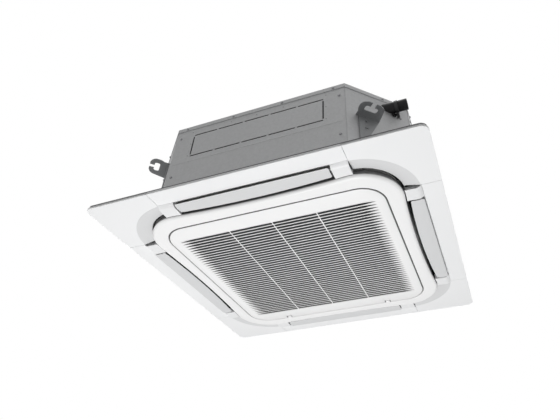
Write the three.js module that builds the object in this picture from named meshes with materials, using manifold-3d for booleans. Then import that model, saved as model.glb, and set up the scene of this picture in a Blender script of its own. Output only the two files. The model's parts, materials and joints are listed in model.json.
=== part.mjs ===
// Four-way ceiling cassette air conditioner with a 950 mm panel, in millimetres.
// Origin: centre of the ceiling cut-out, on the ceiling plane where the panel rim rests.
// +Z points up into the ceiling void, -Y is the front side, +X the side with the pipe work.
import * as THREE from "three";
import { mergeVertices } from "three/addons/utils/BufferGeometryUtils.js";
import Module from "manifold-3d";

const wasm = await Module();
wasm.setup();

// ---- Driving dimensions ---------------------------------------------------------------
const CLEAR = 0.3; // gap left between pieces that touch

// Panel, seen from below
const PANEL_HALF = 475;
const PANEL_CORNER_R = 21;
const THROUGH_PANEL = [-30, 5]; // heights that reach right through the panel
const RIM_BOTTOM = -10;
const RIM_STEP = -4; // above this the rim is a flange set back from the edge
const RIM_SET_BACK = 2.2;
const PANEL_SKIN = 3;
const SEAM_AT = 271; // corner covers start here
const SLOT_OUTER = 422; // outer edge of the four air outlets
const RECESS_R = 160; // corner recess, outer arc
const RECESS_CENTRE = SLOT_OUTER - RECESS_R - 1;
const RECESS_WIDTH = 35;
const RECESS_RISE = 9.4;
const RECESS_FACETS = 40; // to a full turn
const RAMP_SHEET = 2;

// Raised ring round the intake grille
const RING_BOTTOM = -25;
const RING_HALF_MIDDLE = 365; // its sides are drawn in towards the middle
const RING_HALF_CORNER = 375;
const RING_CORNER_R = 110;
const RING_HOLE_HALF = 328.5;
const RING_HOLE_R = 71.5;
const RING_EDGE = 3;
const RING_HOLE_EDGE = 2;
const RING_WALL = 2.5;
const RING_LIP = { half: 350, r: 93 };

// Blocks that bridge the outlets and carry the vane pins
const BLOCK_INNER = 224;
const BLOCK_BOTTOM = -18;
const BLOCK_END = 376.3; // inner end where the ring is widest
const BLOCK_WALL = 2.5;
const BLOCK_NOSE = [[0, 0], [4, 4.6], [8, 7.2], [13, 8]]; // in from the slot, down from the rim

// Vanes
const VANE_HALF_LENGTH = 219;
const VANE_OUTER = 419.3;
const VANE_INNER_MIDDLE = 374;
const VANE_INNER_END = 383;
const VANE_BOTTOM = -18.5;
const VANE_THICKNESS = 4;
const VANE_AXIS_AT = 404;
const VANE_AXIS_Z = -8.5;
const VANE_PIN_R = 2.8;
const VANE_EAR = { half: 9, topHalf: 3, above: 4, from: 6, to: 1.5 }; // along: in from the end
const VANE_MOTOR = { length: 26, r: 6.6, earReach: 12, earHalf: 4, earSheet: 1.5 };

// Intake grille
const GRILLE_HALF = 326.5;
const GRILLE_R = 70;
const GRILLE_TOP = -12;
const GRILLE_WALL = 3.5;
const SLAT_PITCH = 13.05;
const SLAT_GAP = 7;
const SLAT_ROWS = 41;
const SLAT_HALF_LENGTH = 300;
const SLAT_TAPER = 38;
const SLAT_DEPTH = 5.1;
const RIB_AT = 133;
const RIB_WIDTH = 3;
const HINGE_Y = 318.5;
const HINGE_Z = -21.8; // low, so that the rounded far corners clear the ring as it swings
const HINGE_X = 190;
const HINGE_PIN_R = 1.5;
const HINGE_PIN_HALF = 16;
const HINGE_EYE_R = 3.1;
const HINGE_WEB_TOP = -14;
const HINGE_NOTCH_DEPTH = 6.5; // from the hinge line inwards
const HINGE_LUG = 14;
const KNUCKLE = { width: 8, inwards: 4, outwards: 6, low: -22, above: 4 };

// Filter, lying on the ribs of the grille
const FILTER_HALF = 311;
const FILTER_R = 60;
const FILTER_LOW = -16.7;
const FILTER_THICK = 3;
const FILTER_RIM = 10;

// Foam gasket between the ring and the drain pan
const GASKET_OUTER = { half: 347, r: 88 };
const GASKET_INNER = { half: 333, r: 75 };

// Casing: an octagon of sheet steel
const BODY_HALF = 420;
const BODY_SUM = 691.5; // |x| + |y| on the outside of the slanted corners
const BODY_BOTTOM = 2;
const BODY_TOP = 290;
const SHEET = 1.2;
const SIDE_HALF_WIDTH = 271;
const SKIRT_DEPTH = 15;
const LINER = 12;
const CORNER_LAP_AT = 256; // where a slanted corner's edges end behind the long sides
const FOOT = { half: 255, depth: 14 };
const STIFFENER = { at: 142, half: 8, rise: 3, reach: 300 };
const MOTOR_BAY = { half: 125, low: 200 };
const DRAIN_BAY = { x: [335, 400], half: 17 };
const KNOCKOUT = { half: 207.5, low: 160, high: 246, slit: 2.5, tab: 3 };
const KNOCKOUT_TABS = [42, 128];

// Hanging lugs, in the frame of a slanted corner: x out of the wall, y along it
const LUG_ALONG = -45;
const LUG_REACH = 55;
const LUG_EDGE = [[CLEAR, 30], [15, 30], [24, 34.5], [30, 35.5], [40, 35.5], [46, 32.5], [51, 27]];
const LUG_TIP_HALF = 20.5;
const LUG_TOP = 175;
const LUG_SHEET = 3;
const T_SLOT = { neck: 6.5, half: 19, from: 25.4, to: 41, round: 5 };
const LUG_FLANGE = [[-22, 175], [-22, 64], [-11, 64], [40, 157], [40, 175]]; // along, height
const LUG_WINDOW = { half: 3, low: 152, high: 158 };
const LUG_SLOT = { half: 5, low: 127, high: 131 };

// Inner works
const PAN_BOTTOM = 3.5;
const PAN_TOP = 62;
const PAN_FLOOR = 44;
const SUMP_FLOOR = 36;
const TRAY_HALF = 365.85; // the tray ends where the outlets start
const TRAY_R = 90;
const TRAY_HOLE = { half: 262, r: 75 };
const REBATE_R = 88; // round the plate of the bell mouth
const TROUGH = { outer: 14, inner: 12 }; // how much wider than the coil
const DUCT = { half: 292, straight: 264, outer: 404, shoulder: 376, inner: 360 };
const COIL_HALF = 330;
const COIL_DEPTH = 36;
const COIL_CORNER_R = 150;
const COIL_TOP = 272;
const COIL_ENDS_AT = 150; // the band stays open beyond this at the back right
const BELL_PLATE_Z = 34;
const BELL_HALF = 275.5;
const BELL_SHEET = 2.5;
const BELL_THROAT_R = 172;
const BELL_MOUTH_R = 215;
const BELL_TOP = 82;
const BELL_CORNER_R = 87;
const ROUND_FACETS = 20; // of the bell mouth and the fan
const FAN_R = 228;
const FAN_EYE_R = 178;
const FAN_LOW = 73;
const FAN_TOP = 205;
const BLADES = 7;
const BLADE = { from: 146, tipGap: 2.5, sweep: 0.62, thickest: 3.2 };
const SHROUD_RISE = 34;
const FAN_SKIN = 2.6;
const HUB = { bore: 4.6, bossR: 18, bossLow: 124, plateLow: 144, plateR: 60, coneR: 110 };
const NUT = { r: 9, low: 110, high: 123.6, thread: 4.4 };
const MOTOR_R = 66;
const MOTOR_EAR_TOP = 243;
const MOTOR = { shaftR: 4, shaftLow: 115, neckR: 14, neckLow: 158, low: 163, shoulder: 176, high: 258 };
const MOTOR_EAR = { from: 40, to: 92, half: 11, sheet: 5, post: 82, postR: 8 };
const MOTOR_PLATE = { half: 112, r: 20, sheet: 2.5 };
const DRAIN_Y = -320; // drain outlet, pointing along +X
const DRAIN_Z = 250;
const DRAIN_BORE_R = 12.3;
const HOSE_R = 16.5;
const HOSE_START = 340;
const HOSE_END = 428;
const CLAMP = { x: [391, 401], gap: 0.4, sheet: 1.5, screwAt: -24, screwR: 3, ear: [6, 16] };
const DRAIN_BEND = 22;
const DRAIN_PIPE_END = 400;
const PUMP = {
  x: 308, y: -320, r: 28, low: 60, top: 118, footR: 12, wellMargin: 4,
  motorX: 294, motorR: 17.7, motorTop: 152, outletX: 324.3,
};
const FLOAT = {
  x: 336, y: -280, r: 9, low: 51.3, high: 65.5, wellR: 22, stemR: 3, stemLow: 48, stopR: 6.5,
  arm: [94, 100],
};
const HEADER = { x: 312, y: 168, r: 8, low: 60, high: 258, stubs: [85, 170, 235], stubR: 4 };
const PIPE_RUN = { bend: -40, end: 48, nut: [36, 56], cap: [55, 64], nutRatio: 1.7, capRatio: 1.35 };
const REFRIGERANT_PIPES = {
  gas: { x: 367.5, y: -324, z: 150, r: 7.9 }, // where each crosses the slanted wall,
  liquid: { x: 389.5, y: -302, z: 105, r: 4.8 }, // drawn at the front right corner
};

// Electrics, under the plate of the bell mouth
const CONTROL_BOX = { x: [221, 271], y: [-185, 185], low: 5, sheet: 1.2 };
const LID = { fit: 0.6, rise: 6 };
const TERMINALS = { x: [232, 262], y: [-160, -70], height: 13, count: 5, pitch: 17, slot: 12, depth: 6 };

// ---- Solid helpers --------------------------------------------------------------------
function solid(geometry) {
  const flat = geometry.index ? geometry.toNonIndexed() : geometry;
  const bare = new THREE.BufferGeometry();
  bare.setAttribute("position", flat.getAttribute("position"));
  const merged = mergeVertices(bare, 1e-4);
  const corners = merged.index.array;
  const triVerts = [];
  for (let i = 0; i < corners.length; i += 3) {
    const [a, b, c] = corners.slice(i, i + 3);
    if (a !== b && b !== c && c !== a) triVerts.push(a, b, c);
  }
  const vertProperties = merged.attributes.position.array;
  const shell = { numProp: 3, vertProperties, triVerts: new Uint32Array(triVerts) };
  return new wasm.Manifold(new wasm.Mesh(shell));
}

function join(...bodies) {
  return bodies.reduce((sum, body) => sum.add(body));
}

function cut(body, ...tools) {
  return tools.reduce((rest, tool) => rest.subtract(tool), body);
}

function common(a, b) {
  return a.intersect(b);
}

function geometryOf(body) {
  const mesh = body.getMesh();
  const geometry = new THREE.BufferGeometry();
  geometry.setAttribute("position", new THREE.BufferAttribute(mesh.vertProperties, 3));
  geometry.setIndex(new THREE.BufferAttribute(mesh.triVerts, 1));
  const faceted = geometry.toNonIndexed();
  faceted.computeVertexNormals();
  return faceted;
}

function box([x0, x1], [y0, y1], [z0, z1]) {
  const block = new THREE.BoxGeometry(x1 - x0, y1 - y0, z1 - z0);
  return solid(block.translate((x0 + x1) / 2, (y0 + y1) / 2, (z0 + z1) / 2));
}

function shapeOf(points, holes = []) {
  const shape = new THREE.Shape(points);
  shape.holes = holes.map((hole) => new THREE.Path(hole));
  return shape;
}

// A plan outline raised from z0 to z1.
function prism(points, [z0, z1], holes = []) {
  const settings = { depth: z1 - z0, bevelEnabled: false, curveSegments: 1 };
  return solid(new THREE.ExtrudeGeometry(shapeOf(points, holes), settings).translate(0, 0, z0));
}

// A (y, z) section drawn out along X.
const ALONG_X = new THREE.Matrix4().makeBasis(
  new THREE.Vector3(0, 1, 0),
  new THREE.Vector3(0, 0, 1),
  new THREE.Vector3(1, 0, 0),
);

function bar(section, [x0, x1]) {
  const settings = { depth: x1 - x0, bevelEnabled: false, curveSegments: 1 };
  const drawn = new THREE.ExtrudeGeometry(shapeOf(section), settings).translate(0, 0, x0);
  return solid(drawn.applyMatrix4(ALONG_X));
}

// A (radius, z) section turned about the Z axis.
function turned(section, sides) {
  const area = THREE.ShapeUtils.area(section);
  const ordered = area < 0 ? [...section].reverse() : section;
  const closed = [...ordered, ordered[0]];
  return solid(new THREE.LatheGeometry(closed, sides).rotateX(Math.PI / 2));
}

function rod(from, to, radius, sides = 16) {
  const axis = new THREE.Vector3().subVectors(to, from);
  const cylinder = new THREE.CylinderGeometry(radius, radius, axis.length(), sides);
  const up = new THREE.Vector3(0, 1, 0);
  const turn = new THREE.Quaternion().setFromUnitVectors(up, axis.clone().normalize());
  const middle = new THREE.Vector3().addVectors(from, to).multiplyScalar(0.5);
  const placing = new THREE.Matrix4().compose(middle, turn, new THREE.Vector3(1, 1, 1));
  return solid(cylinder.applyMatrix4(placing));
}

function pipe(path, radius, steps, sides = 10) {
  const round = new THREE.Shape().absarc(0, 0, radius, 0, 2 * Math.PI);
  const settings = { steps, extrudePath: path, curveSegments: sides / 2 };
  return solid(new THREE.ExtrudeGeometry(round, settings));
}

// A solid through rings of points that all have the same count; flat ends.
function loft(rings) {
  const count = rings[0].length;
  const positions = [];
  const triangle = (a, b, c) => positions.push(...a.toArray(), ...b.toArray(), ...c.toArray());
  for (let k = 0; k + 1 < rings.length; k++) {
    for (let i = 0; i < count; i++) {
      const j = (i + 1) % count;
      triangle(rings[k][i], rings[k][j], rings[k + 1][j]);
      triangle(rings[k][i], rings[k + 1][j], rings[k + 1][i]);
    }
  }
  const first = rings[0];
  const last = rings[rings.length - 1];
  for (const [a, b, c] of capOf(first)) triangle(first[a], first[c], first[b]);
  for (const [a, b, c] of capOf(last)) triangle(last[a], last[b], last[c]);
  const geometry = new THREE.BufferGeometry();
  geometry.setAttribute("position", new THREE.Float32BufferAttribute(positions, 3));
  return solid(geometry);
}

// Triangles over a flat ring that runs anticlockwise round Z or round X.
function capOf(ring) {
  const level = ring.every((p) => Math.abs(p.z - ring[0].z) < 1e-6);
  const flat = ring.map((p) => (level ? point(p.x, p.y) : point(p.y, p.z)));
  return THREE.ShapeUtils.triangulateShape(flat, []);
}

// ---- Outlines -------------------------------------------------------------------------
function point(x, y) {
  return new THREE.Vector2(x, y);
}

// Rounded square, anticlockwise; drawIn bows the sides in by that much at their middle.
function roundedSquare(half, radius, steps, drawIn = 0, sideSteps = 1) {
  const points = [];
  const straight = half - radius;
  for (let side = 0; side < 4; side++) {
    const turn = (side * Math.PI) / 2;
    for (let i = 0; i <= steps; i++) {
      const angle = turn + (i / steps) * (Math.PI / 2);
      const cornerAngle = turn + Math.PI / 4;
      const centre = straight * Math.SQRT2;
      const x = centre * Math.cos(cornerAngle) + radius * Math.cos(angle);
      points.push(point(x, centre * Math.sin(cornerAngle) + radius * Math.sin(angle)));
    }
    for (let i = 1; i < sideSteps; i++) {
      const along = straight * (1 - (2 * i) / sideSteps);
      const out = half - drawIn * (1 - (along / straight) ** 2);
      points.push(point(along, out).rotateAround(point(0, 0), turn));
    }
  }
  return points;
}

// Octagon with straight sides at `half` and slanted corners where |x| + |y| = sum.
function octagon(half, sum) {
  const short = sum - half;
  const side = [point(half, -short), point(half, short)];
  const turnedSide = (k) => side.map((p) => p.clone().rotateAround(point(0, 0), (k * Math.PI) / 2));
  return [0, 1, 2, 3].flatMap(turnedSide);
}

function circle(x, y, radius, sides) {
  return Array.from({ length: sides }, (_, i) => {
    const angle = (2 * Math.PI * i) / sides;
    return point(x + radius * Math.cos(angle), y + radius * Math.sin(angle));
  });
}

function atHeight(points, z) {
  return points.map((p) => new THREE.Vector3(p.x, p.y, z));
}

// ---- Materials ------------------------------------------------------------------------
const COLOURS = {
  white_plastic: [0xeef0f0, 0.45, 0],
  vane_plastic: [0xcdd2d3, 0.5, 0],
  galvanised: [0x9aa0a3, 0.45, 0.8],
  dark_steel: [0x5b6063, 0.5, 0.7],
  foam: [0x3a3d3f, 0.95, 0],
  expanded_foam: [0xe8e8e4, 0.9, 0],
  aluminium: [0xb9c0c4, 0.35, 0.9],
  copper: [0xb87333, 0.35, 0.9],
  black_rubber: [0x151617, 0.7, 0],
  grey_plastic: [0x7f868a, 0.6, 0],
  filter_mesh: [0x4a5054, 0.8, 0],
};

const cassette = new THREE.Group();

function place(parent, name, body, colour) {
  const [color, roughness, metalness] = COLOURS[colour];
  const material = new THREE.MeshStandardMaterial({ color, roughness, metalness });
  const mesh = new THREE.Mesh(geometryOf(body), material);
  mesh.name = name;
  parent.add(mesh);
  return mesh;
}

const SIDES = ["front", "right", "back", "left"];
const CORNERS = [
  { name: "front_right", mirrorX: 1, mirrorY: 1 },
  { name: "front_left", mirrorX: -1, mirrorY: 1 },
  { name: "back_right", mirrorX: 1, mirrorY: -1 },
  { name: "back_left", mirrorX: -1, mirrorY: -1 },
];

// Pieces drawn for the front side are turned about Z to the other sides.
function sideGroup(index) {
  const group = new THREE.Group();
  group.rotation.z = (index * Math.PI) / 2;
  cassette.add(group);
  return group;
}

// Pieces drawn for the front right corner are mirrored to the other corners.
function cornerGroup({ mirrorX, mirrorY }) {
  const group = new THREE.Group();
  group.scale.set(mirrorX, mirrorY, 1);
  cassette.add(group);
  return group;
}

// ---- Panel ----------------------------------------------------------------------------
function panelFrame() {
  const setBack = PANEL_HALF - RIM_SET_BACK;
  const flangeInner = roundedSquare(SLOT_OUTER + 2, RECESS_R + 2, 5);
  const flange = prism(
    roundedSquare(setBack, PANEL_CORNER_R - RIM_SET_BACK, 4),
    [RIM_STEP, RIM_STEP + PANEL_SKIN],
    [flangeInner],
  );
  const strip = prism(
    roundedSquare(setBack, PANEL_CORNER_R - RIM_SET_BACK, 4),
    [RIM_STEP, 0],
    [roundedSquare(setBack - PANEL_SKIN, PANEL_CORNER_R - RIM_SET_BACK - PANEL_SKIN, 4)],
  );
  const seam = SEAM_AT - CLEAR / 2;
  const skinTop = RIM_BOTTOM + PANEL_SKIN;
  const sides = SIDES.map((_, k) => {
    const section = [
      point(-PANEL_HALF, RIM_BOTTOM + 1),
      point(-PANEL_HALF + 1, RIM_BOTTOM),
      point(-SLOT_OUTER, RIM_BOTTOM),
      point(-SLOT_OUTER, 0),
      point(-SLOT_OUTER - PANEL_SKIN, 0),
      point(-SLOT_OUTER - PANEL_SKIN, skinTop),
      point(-PANEL_HALF + PANEL_SKIN + 2, skinTop),
      point(-PANEL_HALF + PANEL_SKIN + 2, RIM_STEP + 1),
      point(-PANEL_HALF, RIM_STEP + 1),
    ];
    return turnedCopy(bar(section, [-seam, seam]), k);
  });
  return join(flange, strip, ...sides);
}

function turnedCopy(body, quarterTurns) {
  return solid(geometryOf(body).rotateZ((quarterTurns * Math.PI) / 2));
}

// Height of the corner recess surface at a radius from its centre.
function recessHeight(radius) {
  const inward = (RECESS_R - radius) / RECESS_WIDTH;
  return RIM_BOTTOM + RECESS_RISE * inward ** 1.5;
}

function cornerCover() {
  const seam = SEAM_AT + CLEAR / 2;
  const edge = PANEL_HALF;
  const outer = roundedSquare(edge, PANEL_CORNER_R, 4);
  const inset = roundedSquare(edge - 1, PANEL_CORNER_R - 1, 4);
  const slab = loft([
    atHeight(inset, RIM_BOTTOM),
    atHeight(outer, RIM_BOTTOM + 1),
    atHeight(outer, RIM_STEP - CLEAR),
  ]);
  const hollow = prism(
    roundedSquare(edge - PANEL_SKIN, PANEL_CORNER_R - PANEL_SKIN, 4),
    [RIM_BOTTOM + PANEL_SKIN, 0],
  );
  const recess = prism(
    circle(RECESS_CENTRE, -RECESS_CENTRE, RECESS_R, RECESS_FACETS),
    THROUGH_PANEL,
  );
  const rampSteps = 3;
  const under = [];
  const over = [];
  for (let i = 0; i <= rampSteps; i++) {
    const radius = RECESS_R + 0.5 - ((RECESS_WIDTH + 0.5) * i) / rampSteps;
    const z = i ? recessHeight(radius) : RIM_BOTTOM;
    under.push(point(radius, z));
    over.unshift(point(radius, z + RAMP_SHEET));
  }
  const ramp = turned([...under, ...over], RECESS_FACETS);
  const rampAtCorner = moved(ramp, RECESS_CENTRE, -RECESS_CENTRE, 0);
  const quadrant = box([seam, edge + 1], [-edge - 1, -seam], THROUGH_PANEL);
  return common(join(cut(slab, hollow, recess), rampAtCorner), quadrant);
}

function moved(body, x, y, z) {
  return solid(geometryOf(body).translate(x, y, z));
}

function ringOutline(inset) {
  const half = RING_HALF_CORNER - inset;
  const drawIn = RING_HALF_CORNER - RING_HALF_MIDDLE;
  return roundedSquare(half, RING_CORNER_R - inset, 6, drawIn, 4);
}

function innerRing() {
  const outside = loft([
    atHeight(ringOutline(RING_EDGE), RING_BOTTOM),
    atHeight(ringOutline(0), RING_BOTTOM + RING_EDGE),
    atHeight(ringOutline(0), 0),
  ]);
  const hole = roundedSquare(RING_HOLE_HALF, RING_HOLE_R, 6);
  const opening = prism(hole, THROUGH_PANEL);
  const wider = RING_HOLE_EDGE + 1;
  const mouth = loft([
    atHeight(roundedSquare(RING_HOLE_HALF + wider, RING_HOLE_R + wider, 6), RING_BOTTOM - 1),
    atHeight(hole, RING_BOTTOM + RING_HOLE_EDGE),
  ]);
  const wallHalf = RING_HOLE_HALF + RING_WALL;
  const channel = prism(
    ringOutline(RING_WALL),
    [RING_BOTTOM + PANEL_SKIN, 5],
    [roundedSquare(wallHalf, RING_HOLE_R + RING_WALL, 6)],
  );
  const lip = prism(roundedSquare(RING_LIP.half, RING_LIP.r, 6), [-PANEL_SKIN, 0], [hole]);
  return join(cut(outside, opening, mouth, channel), lip, ...hingeLugs());
}

// A rod along X.
function pinAlongX(x0, x1, y, z, radius, sides = 12) {
  return rod(new THREE.Vector3(x0, y, z), new THREE.Vector3(x1, y, z), radius, sides);
}

// The ring's two lugs reach into notches in the grille's far edge and hold the hinge pins.
function hingeLugs() {
  return [-HINGE_X, HINGE_X].map((x) => {
    const [x0, x1] = [x - HINGE_LUG / 2, x + HINGE_LUG / 2];
    const eye = pinAlongX(x0, x1, HINGE_Y, HINGE_Z, HINGE_EYE_R, 10);
    const webHeight = [HINGE_Z - HINGE_EYE_R + 0.2, HINGE_WEB_TOP];
    const web = box([x0, x1], [HINGE_Y, RING_HOLE_HALF + 1], webHeight);
    return cut(join(eye, web), pinAlongX(x0 - 2, x1 + 2, HINGE_Y, HINGE_Z, HINGE_PIN_R + CLEAR));
  });
}

function hingePin(x) {
  return pinAlongX(x - HINGE_PIN_HALF, x + HINGE_PIN_HALF, HINGE_Y, HINGE_Z, HINGE_PIN_R);
}

// Bridging block at the positive end of the front outlet.
function vaneBlock() {
  const outer = -SLOT_OUTER + CLEAR;
  const section = [
    ...BLOCK_NOSE.map(([inwards, down]) => point(outer + inwards, RIM_BOTTOM - down)),
    point(-RING_HALF_MIDDLE, BLOCK_BOTTOM),
    point(-RING_HALF_MIDDLE, 0),
    point(outer, 0),
  ];
  const seam = SEAM_AT - CLEAR / 2;
  const ringSpace = prism(ringOutline(-CLEAR), [RING_BOTTOM, 5]);
  const body = cut(bar(section, [BLOCK_INNER, seam]), ringSpace);
  const hollow = box(
    [BLOCK_INNER + BLOCK_WALL, seam - BLOCK_WALL],
    [outer + 5, -BLOCK_END - BLOCK_WALL],
    [BLOCK_BOTTOM + BLOCK_WALL, 5],
  );
  const bore = rod(
    new THREE.Vector3(BLOCK_INNER - 1, -VANE_AXIS_AT, VANE_AXIS_Z),
    new THREE.Vector3(BLOCK_INNER + BLOCK_WALL + 1, -VANE_AXIS_AT, VANE_AXIS_Z),
    VANE_PIN_R + 0.6,
    8,
  );
  return cut(body, hollow, bore);
}

function vaneInnerEdge(x) {
  const sweep = (x / VANE_HALF_LENGTH) ** 2;
  return VANE_INNER_MIDDLE + (VANE_INNER_END - VANE_INNER_MIDDLE) * sweep;
}

// Section of a vane, thin at both edges and fullest in the middle.
function vaneSection(x) {
  const cornerCut = Math.max(0, Math.abs(x) - (VANE_HALF_LENGTH - 5));
  const from = -VANE_OUTER + cornerCut * 0.6;
  const to = -vaneInnerEdge(x) - cornerCut * 0.6;
  const steps = 3;
  const under = [];
  const over = [];
  for (let i = 0; i <= steps; i++) {
    const part = i / steps;
    const y = from + (to - from) * part;
    const belly = Math.sin(Math.PI * part);
    under.push(new THREE.Vector3(x, y, VANE_BOTTOM + 1.4 * (1 - belly)));
    over.unshift(new THREE.Vector3(x, y, VANE_BOTTOM + VANE_THICKNESS - 1.4 * (1 - belly)));
  }
  return [...under, ...over];
}

function vane() {
  const stations = 4;
  const end = VANE_HALF_LENGTH;
  const places = [-end, -end + 5];
  for (let i = 1; i < stations; i++) places.push((end - 5) * (-1 + (2 * i) / stations));
  places.push(end - 5, end);
  const blade = loft(places.map(vaneSection));
  const ends = [-1, 1].map((sign) => {
    const { half, topHalf, above, from, to } = VANE_EAR;
    const ear = [
      point(-VANE_AXIS_AT - half, VANE_BOTTOM + VANE_THICKNESS / 2),
      point(-VANE_AXIS_AT + half, VANE_BOTTOM + VANE_THICKNESS / 2),
      point(-VANE_AXIS_AT + topHalf, VANE_AXIS_Z + above),
      point(-VANE_AXIS_AT - topHalf, VANE_AXIS_Z + above),
    ];
    const span = [sign * (end - from), sign * (end - to)].sort((a, b) => a - b);
    const pin = rod(
      new THREE.Vector3(sign * (end - 2), -VANE_AXIS_AT, VANE_AXIS_Z),
      new THREE.Vector3(sign * (BLOCK_INNER + BLOCK_WALL), -VANE_AXIS_AT, VANE_AXIS_Z),
      VANE_PIN_R,
      10,
    );
    return join(bar(ear, span), pin);
  });
  return join(blade, ...ends);
}

// Stepping motor with two ears, flat against the inside of a block's end wall.
function vaneMotor() {
  const face = BLOCK_INNER + BLOCK_WALL + CLEAR;
  const { length, r, earReach, earHalf, earSheet } = VANE_MOTOR;
  const can = pinAlongX(face, face + length, -VANE_AXIS_AT, VANE_AXIS_Z, r);
  const across = [-VANE_AXIS_AT - earReach, -VANE_AXIS_AT + earReach];
  const ears = box([face, face + earSheet], across, [VANE_AXIS_Z - earHalf, VANE_AXIS_Z + earHalf]);
  return join(can, ears);
}

// A gap between two slats; its ends close to a point like a comb's.
function slatGap(y) {
  const half = SLAT_GAP / 2;
  const shoulder = SLAT_HALF_LENGTH - SLAT_TAPER;
  return [
    point(-SLAT_HALF_LENGTH, y), point(-shoulder, y - half), point(shoulder, y - half),
    point(SLAT_HALF_LENGTH, y), point(shoulder, y + half), point(-shoulder, y + half),
  ];
}

function intakeGrille() {
  const shell = loft([
    atHeight(roundedSquare(GRILLE_HALF - 2.4, GRILLE_R - 2.4, 5), RING_BOTTOM),
    atHeight(roundedSquare(GRILLE_HALF, GRILLE_R, 5), RING_BOTTOM + 2.4),
    atHeight(roundedSquare(GRILLE_HALF, GRILLE_R, 5), GRILLE_TOP),
  ]);
  const tray = prism(
    roundedSquare(GRILLE_HALF - GRILLE_WALL, GRILLE_R - GRILLE_WALL, 4),
    [RING_BOTTOM + 4, 0],
  );
  const fieldX = SLAT_HALF_LENGTH + 3;
  const fieldY = (SLAT_ROWS * SLAT_PITCH) / 2 + 1;
  const field = box([-fieldX, fieldX], [-fieldY, fieldY], [RING_BOTTOM - 5, 0]);
  const slatTop = RING_BOTTOM + SLAT_DEPTH;
  const slatHeight = [RING_BOTTOM + 0.6, slatTop];
  const slab = box([-fieldX - 1, fieldX + 1], [-fieldY - 1, fieldY + 1], slatHeight);
  const rows = Array.from({ length: SLAT_ROWS }, (_, i) => (i - (SLAT_ROWS - 1) / 2) * SLAT_PITCH);
  const slats = cut(slab, ...rows.map((y) => prism(slatGap(y), [RING_BOTTOM - 5, 0])));
  const ribs = [-RIB_AT, 0, RIB_AT].map((x) =>
    box([x - RIB_WIDTH / 2, x + RIB_WIDTH / 2], [-fieldY - 2, fieldY + 2], [slatTop, slatTop + 3]));
  const notchHalf = HINGE_LUG / 2 + 1;
  const notches = [-HINGE_X, HINGE_X].map((x) =>
    box([x - notchHalf, x + notchHalf], [HINGE_Y - HINGE_NOTCH_DEPTH, GRILLE_HALF + 2], [RING_BOTTOM - 2, 0]));
  const knuckles = [-HINGE_X, HINGE_X].flatMap((x) =>
    [x - HINGE_PIN_HALF, x + notchHalf].map(grilleKnuckle));
  const boreHalf = HINGE_PIN_HALF + 2;
  const bores = [-HINGE_X, HINGE_X].map((x) =>
    pinAlongX(x - boreHalf, x + boreHalf, HINGE_Y, HINGE_Z, HINGE_PIN_R + CLEAR));
  const tub = join(cut(shell, tray, field), slats, ...ribs);
  return cut(join(cut(tub, ...notches), ...knuckles), ...bores);
}

function grilleKnuckle(x0) {
  const { width, inwards, outwards, low, above } = KNUCKLE;
  return box([x0, x0 + width], [HINGE_Y - inwards, HINGE_Y + outwards], [low, HINGE_Z + above]);
}

function airFilter() {
  const height = [FILTER_LOW, FILTER_LOW + FILTER_THICK];
  const inner = FILTER_HALF - FILTER_RIM;
  const rim = prism(
    roundedSquare(FILTER_HALF, FILTER_R, 3),
    height,
    [roundedSquare(inner, FILTER_R - FILTER_RIM, 3)],
  );
  const overlap = FILTER_RIM / 2;
  const mesh = prism(
    roundedSquare(inner + overlap, FILTER_R - overlap, 3),
    [FILTER_LOW + 1.1, FILTER_LOW + 1.9],
  );
  const [along, across] = [[-inner - overlap, inner + overlap], [-2, 2]];
  const ribs = join(box(along, across, height), box(across, along, height));
  return join(cut(rim, ribs), mesh, ribs);
}

function panelGasket() {
  return prism(
    roundedSquare(GASKET_OUTER.half, GASKET_OUTER.r, 3),
    [CLEAR, PAN_BOTTOM - CLEAR],
    [roundedSquare(GASKET_INNER.half, GASKET_INNER.r, 3)],
  );
}

// ---- Casing ---------------------------------------------------------------------------
function topPlate() {
  const skirtInner = octagon(BODY_HALF + CLEAR, BODY_SUM + 0.6);
  const outline = octagon(BODY_HALF + CLEAR + SHEET, BODY_SUM + 0.6 + SHEET * Math.SQRT2);
  const cap = prism(outline, [BODY_TOP - SKIRT_DEPTH, BODY_TOP]);
  const under = prism(skirtInner, [0, BODY_TOP - SHEET]);
  const { at, half, rise, reach } = STIFFENER;
  const stiffener = (y) => bar(
    [point(y - half, BODY_TOP - 1), point(y, BODY_TOP + rise), point(y + half, BODY_TOP - 1)],
    [-reach, reach],
  );
  const pair = join(stiffener(-at), stiffener(at));
  return join(cut(cap, under), pair, turnedCopy(pair, 1));
}

// The long sides are one sheet each, with a flange folded in at the bottom.
function sidePanel(withKnockout) {
  const width = [-SIDE_HALF_WIDTH, SIDE_HALF_WIDTH];
  const height = [BODY_BOTTOM, BODY_TOP - SHEET - CLEAR];
  const wall = box(width, [-BODY_HALF, -BODY_HALF + SHEET], height);
  const footDepth = [-BODY_HALF, -BODY_HALF + FOOT.depth];
  const foot = box([-FOOT.half, FOOT.half], footDepth, [BODY_BOTTOM, BODY_BOTTOM + SHEET]);
  const sheet = join(wall, foot);
  return withKnockout ? cut(sheet, ...knockoutSlits()) : sheet;
}

// Slits round the fresh-air knock-out, broken by the tabs that still hold it.
function knockoutSlits() {
  const { half, low, high, slit, tab } = KNOCKOUT;
  const depth = [-BODY_HALF - 1, -BODY_HALF + SHEET + 1];
  const stops = [-half - tab, ...KNOCKOUT_TABS.map((x) => -x).reverse(), ...KNOCKOUT_TABS, half + tab];
  const level = [low, high].flatMap((z) =>
    stops.slice(1).map((x1, i) => box([stops[i] + tab, x1 - tab], depth, [z - slit / 2, z + slit / 2])));
  const upright = [-half, half].map((x) =>
    box([x - slit / 2, x + slit / 2], depth, [low + 2 * tab, high - 2 * tab]));
  return [...level, ...upright];
}

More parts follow.
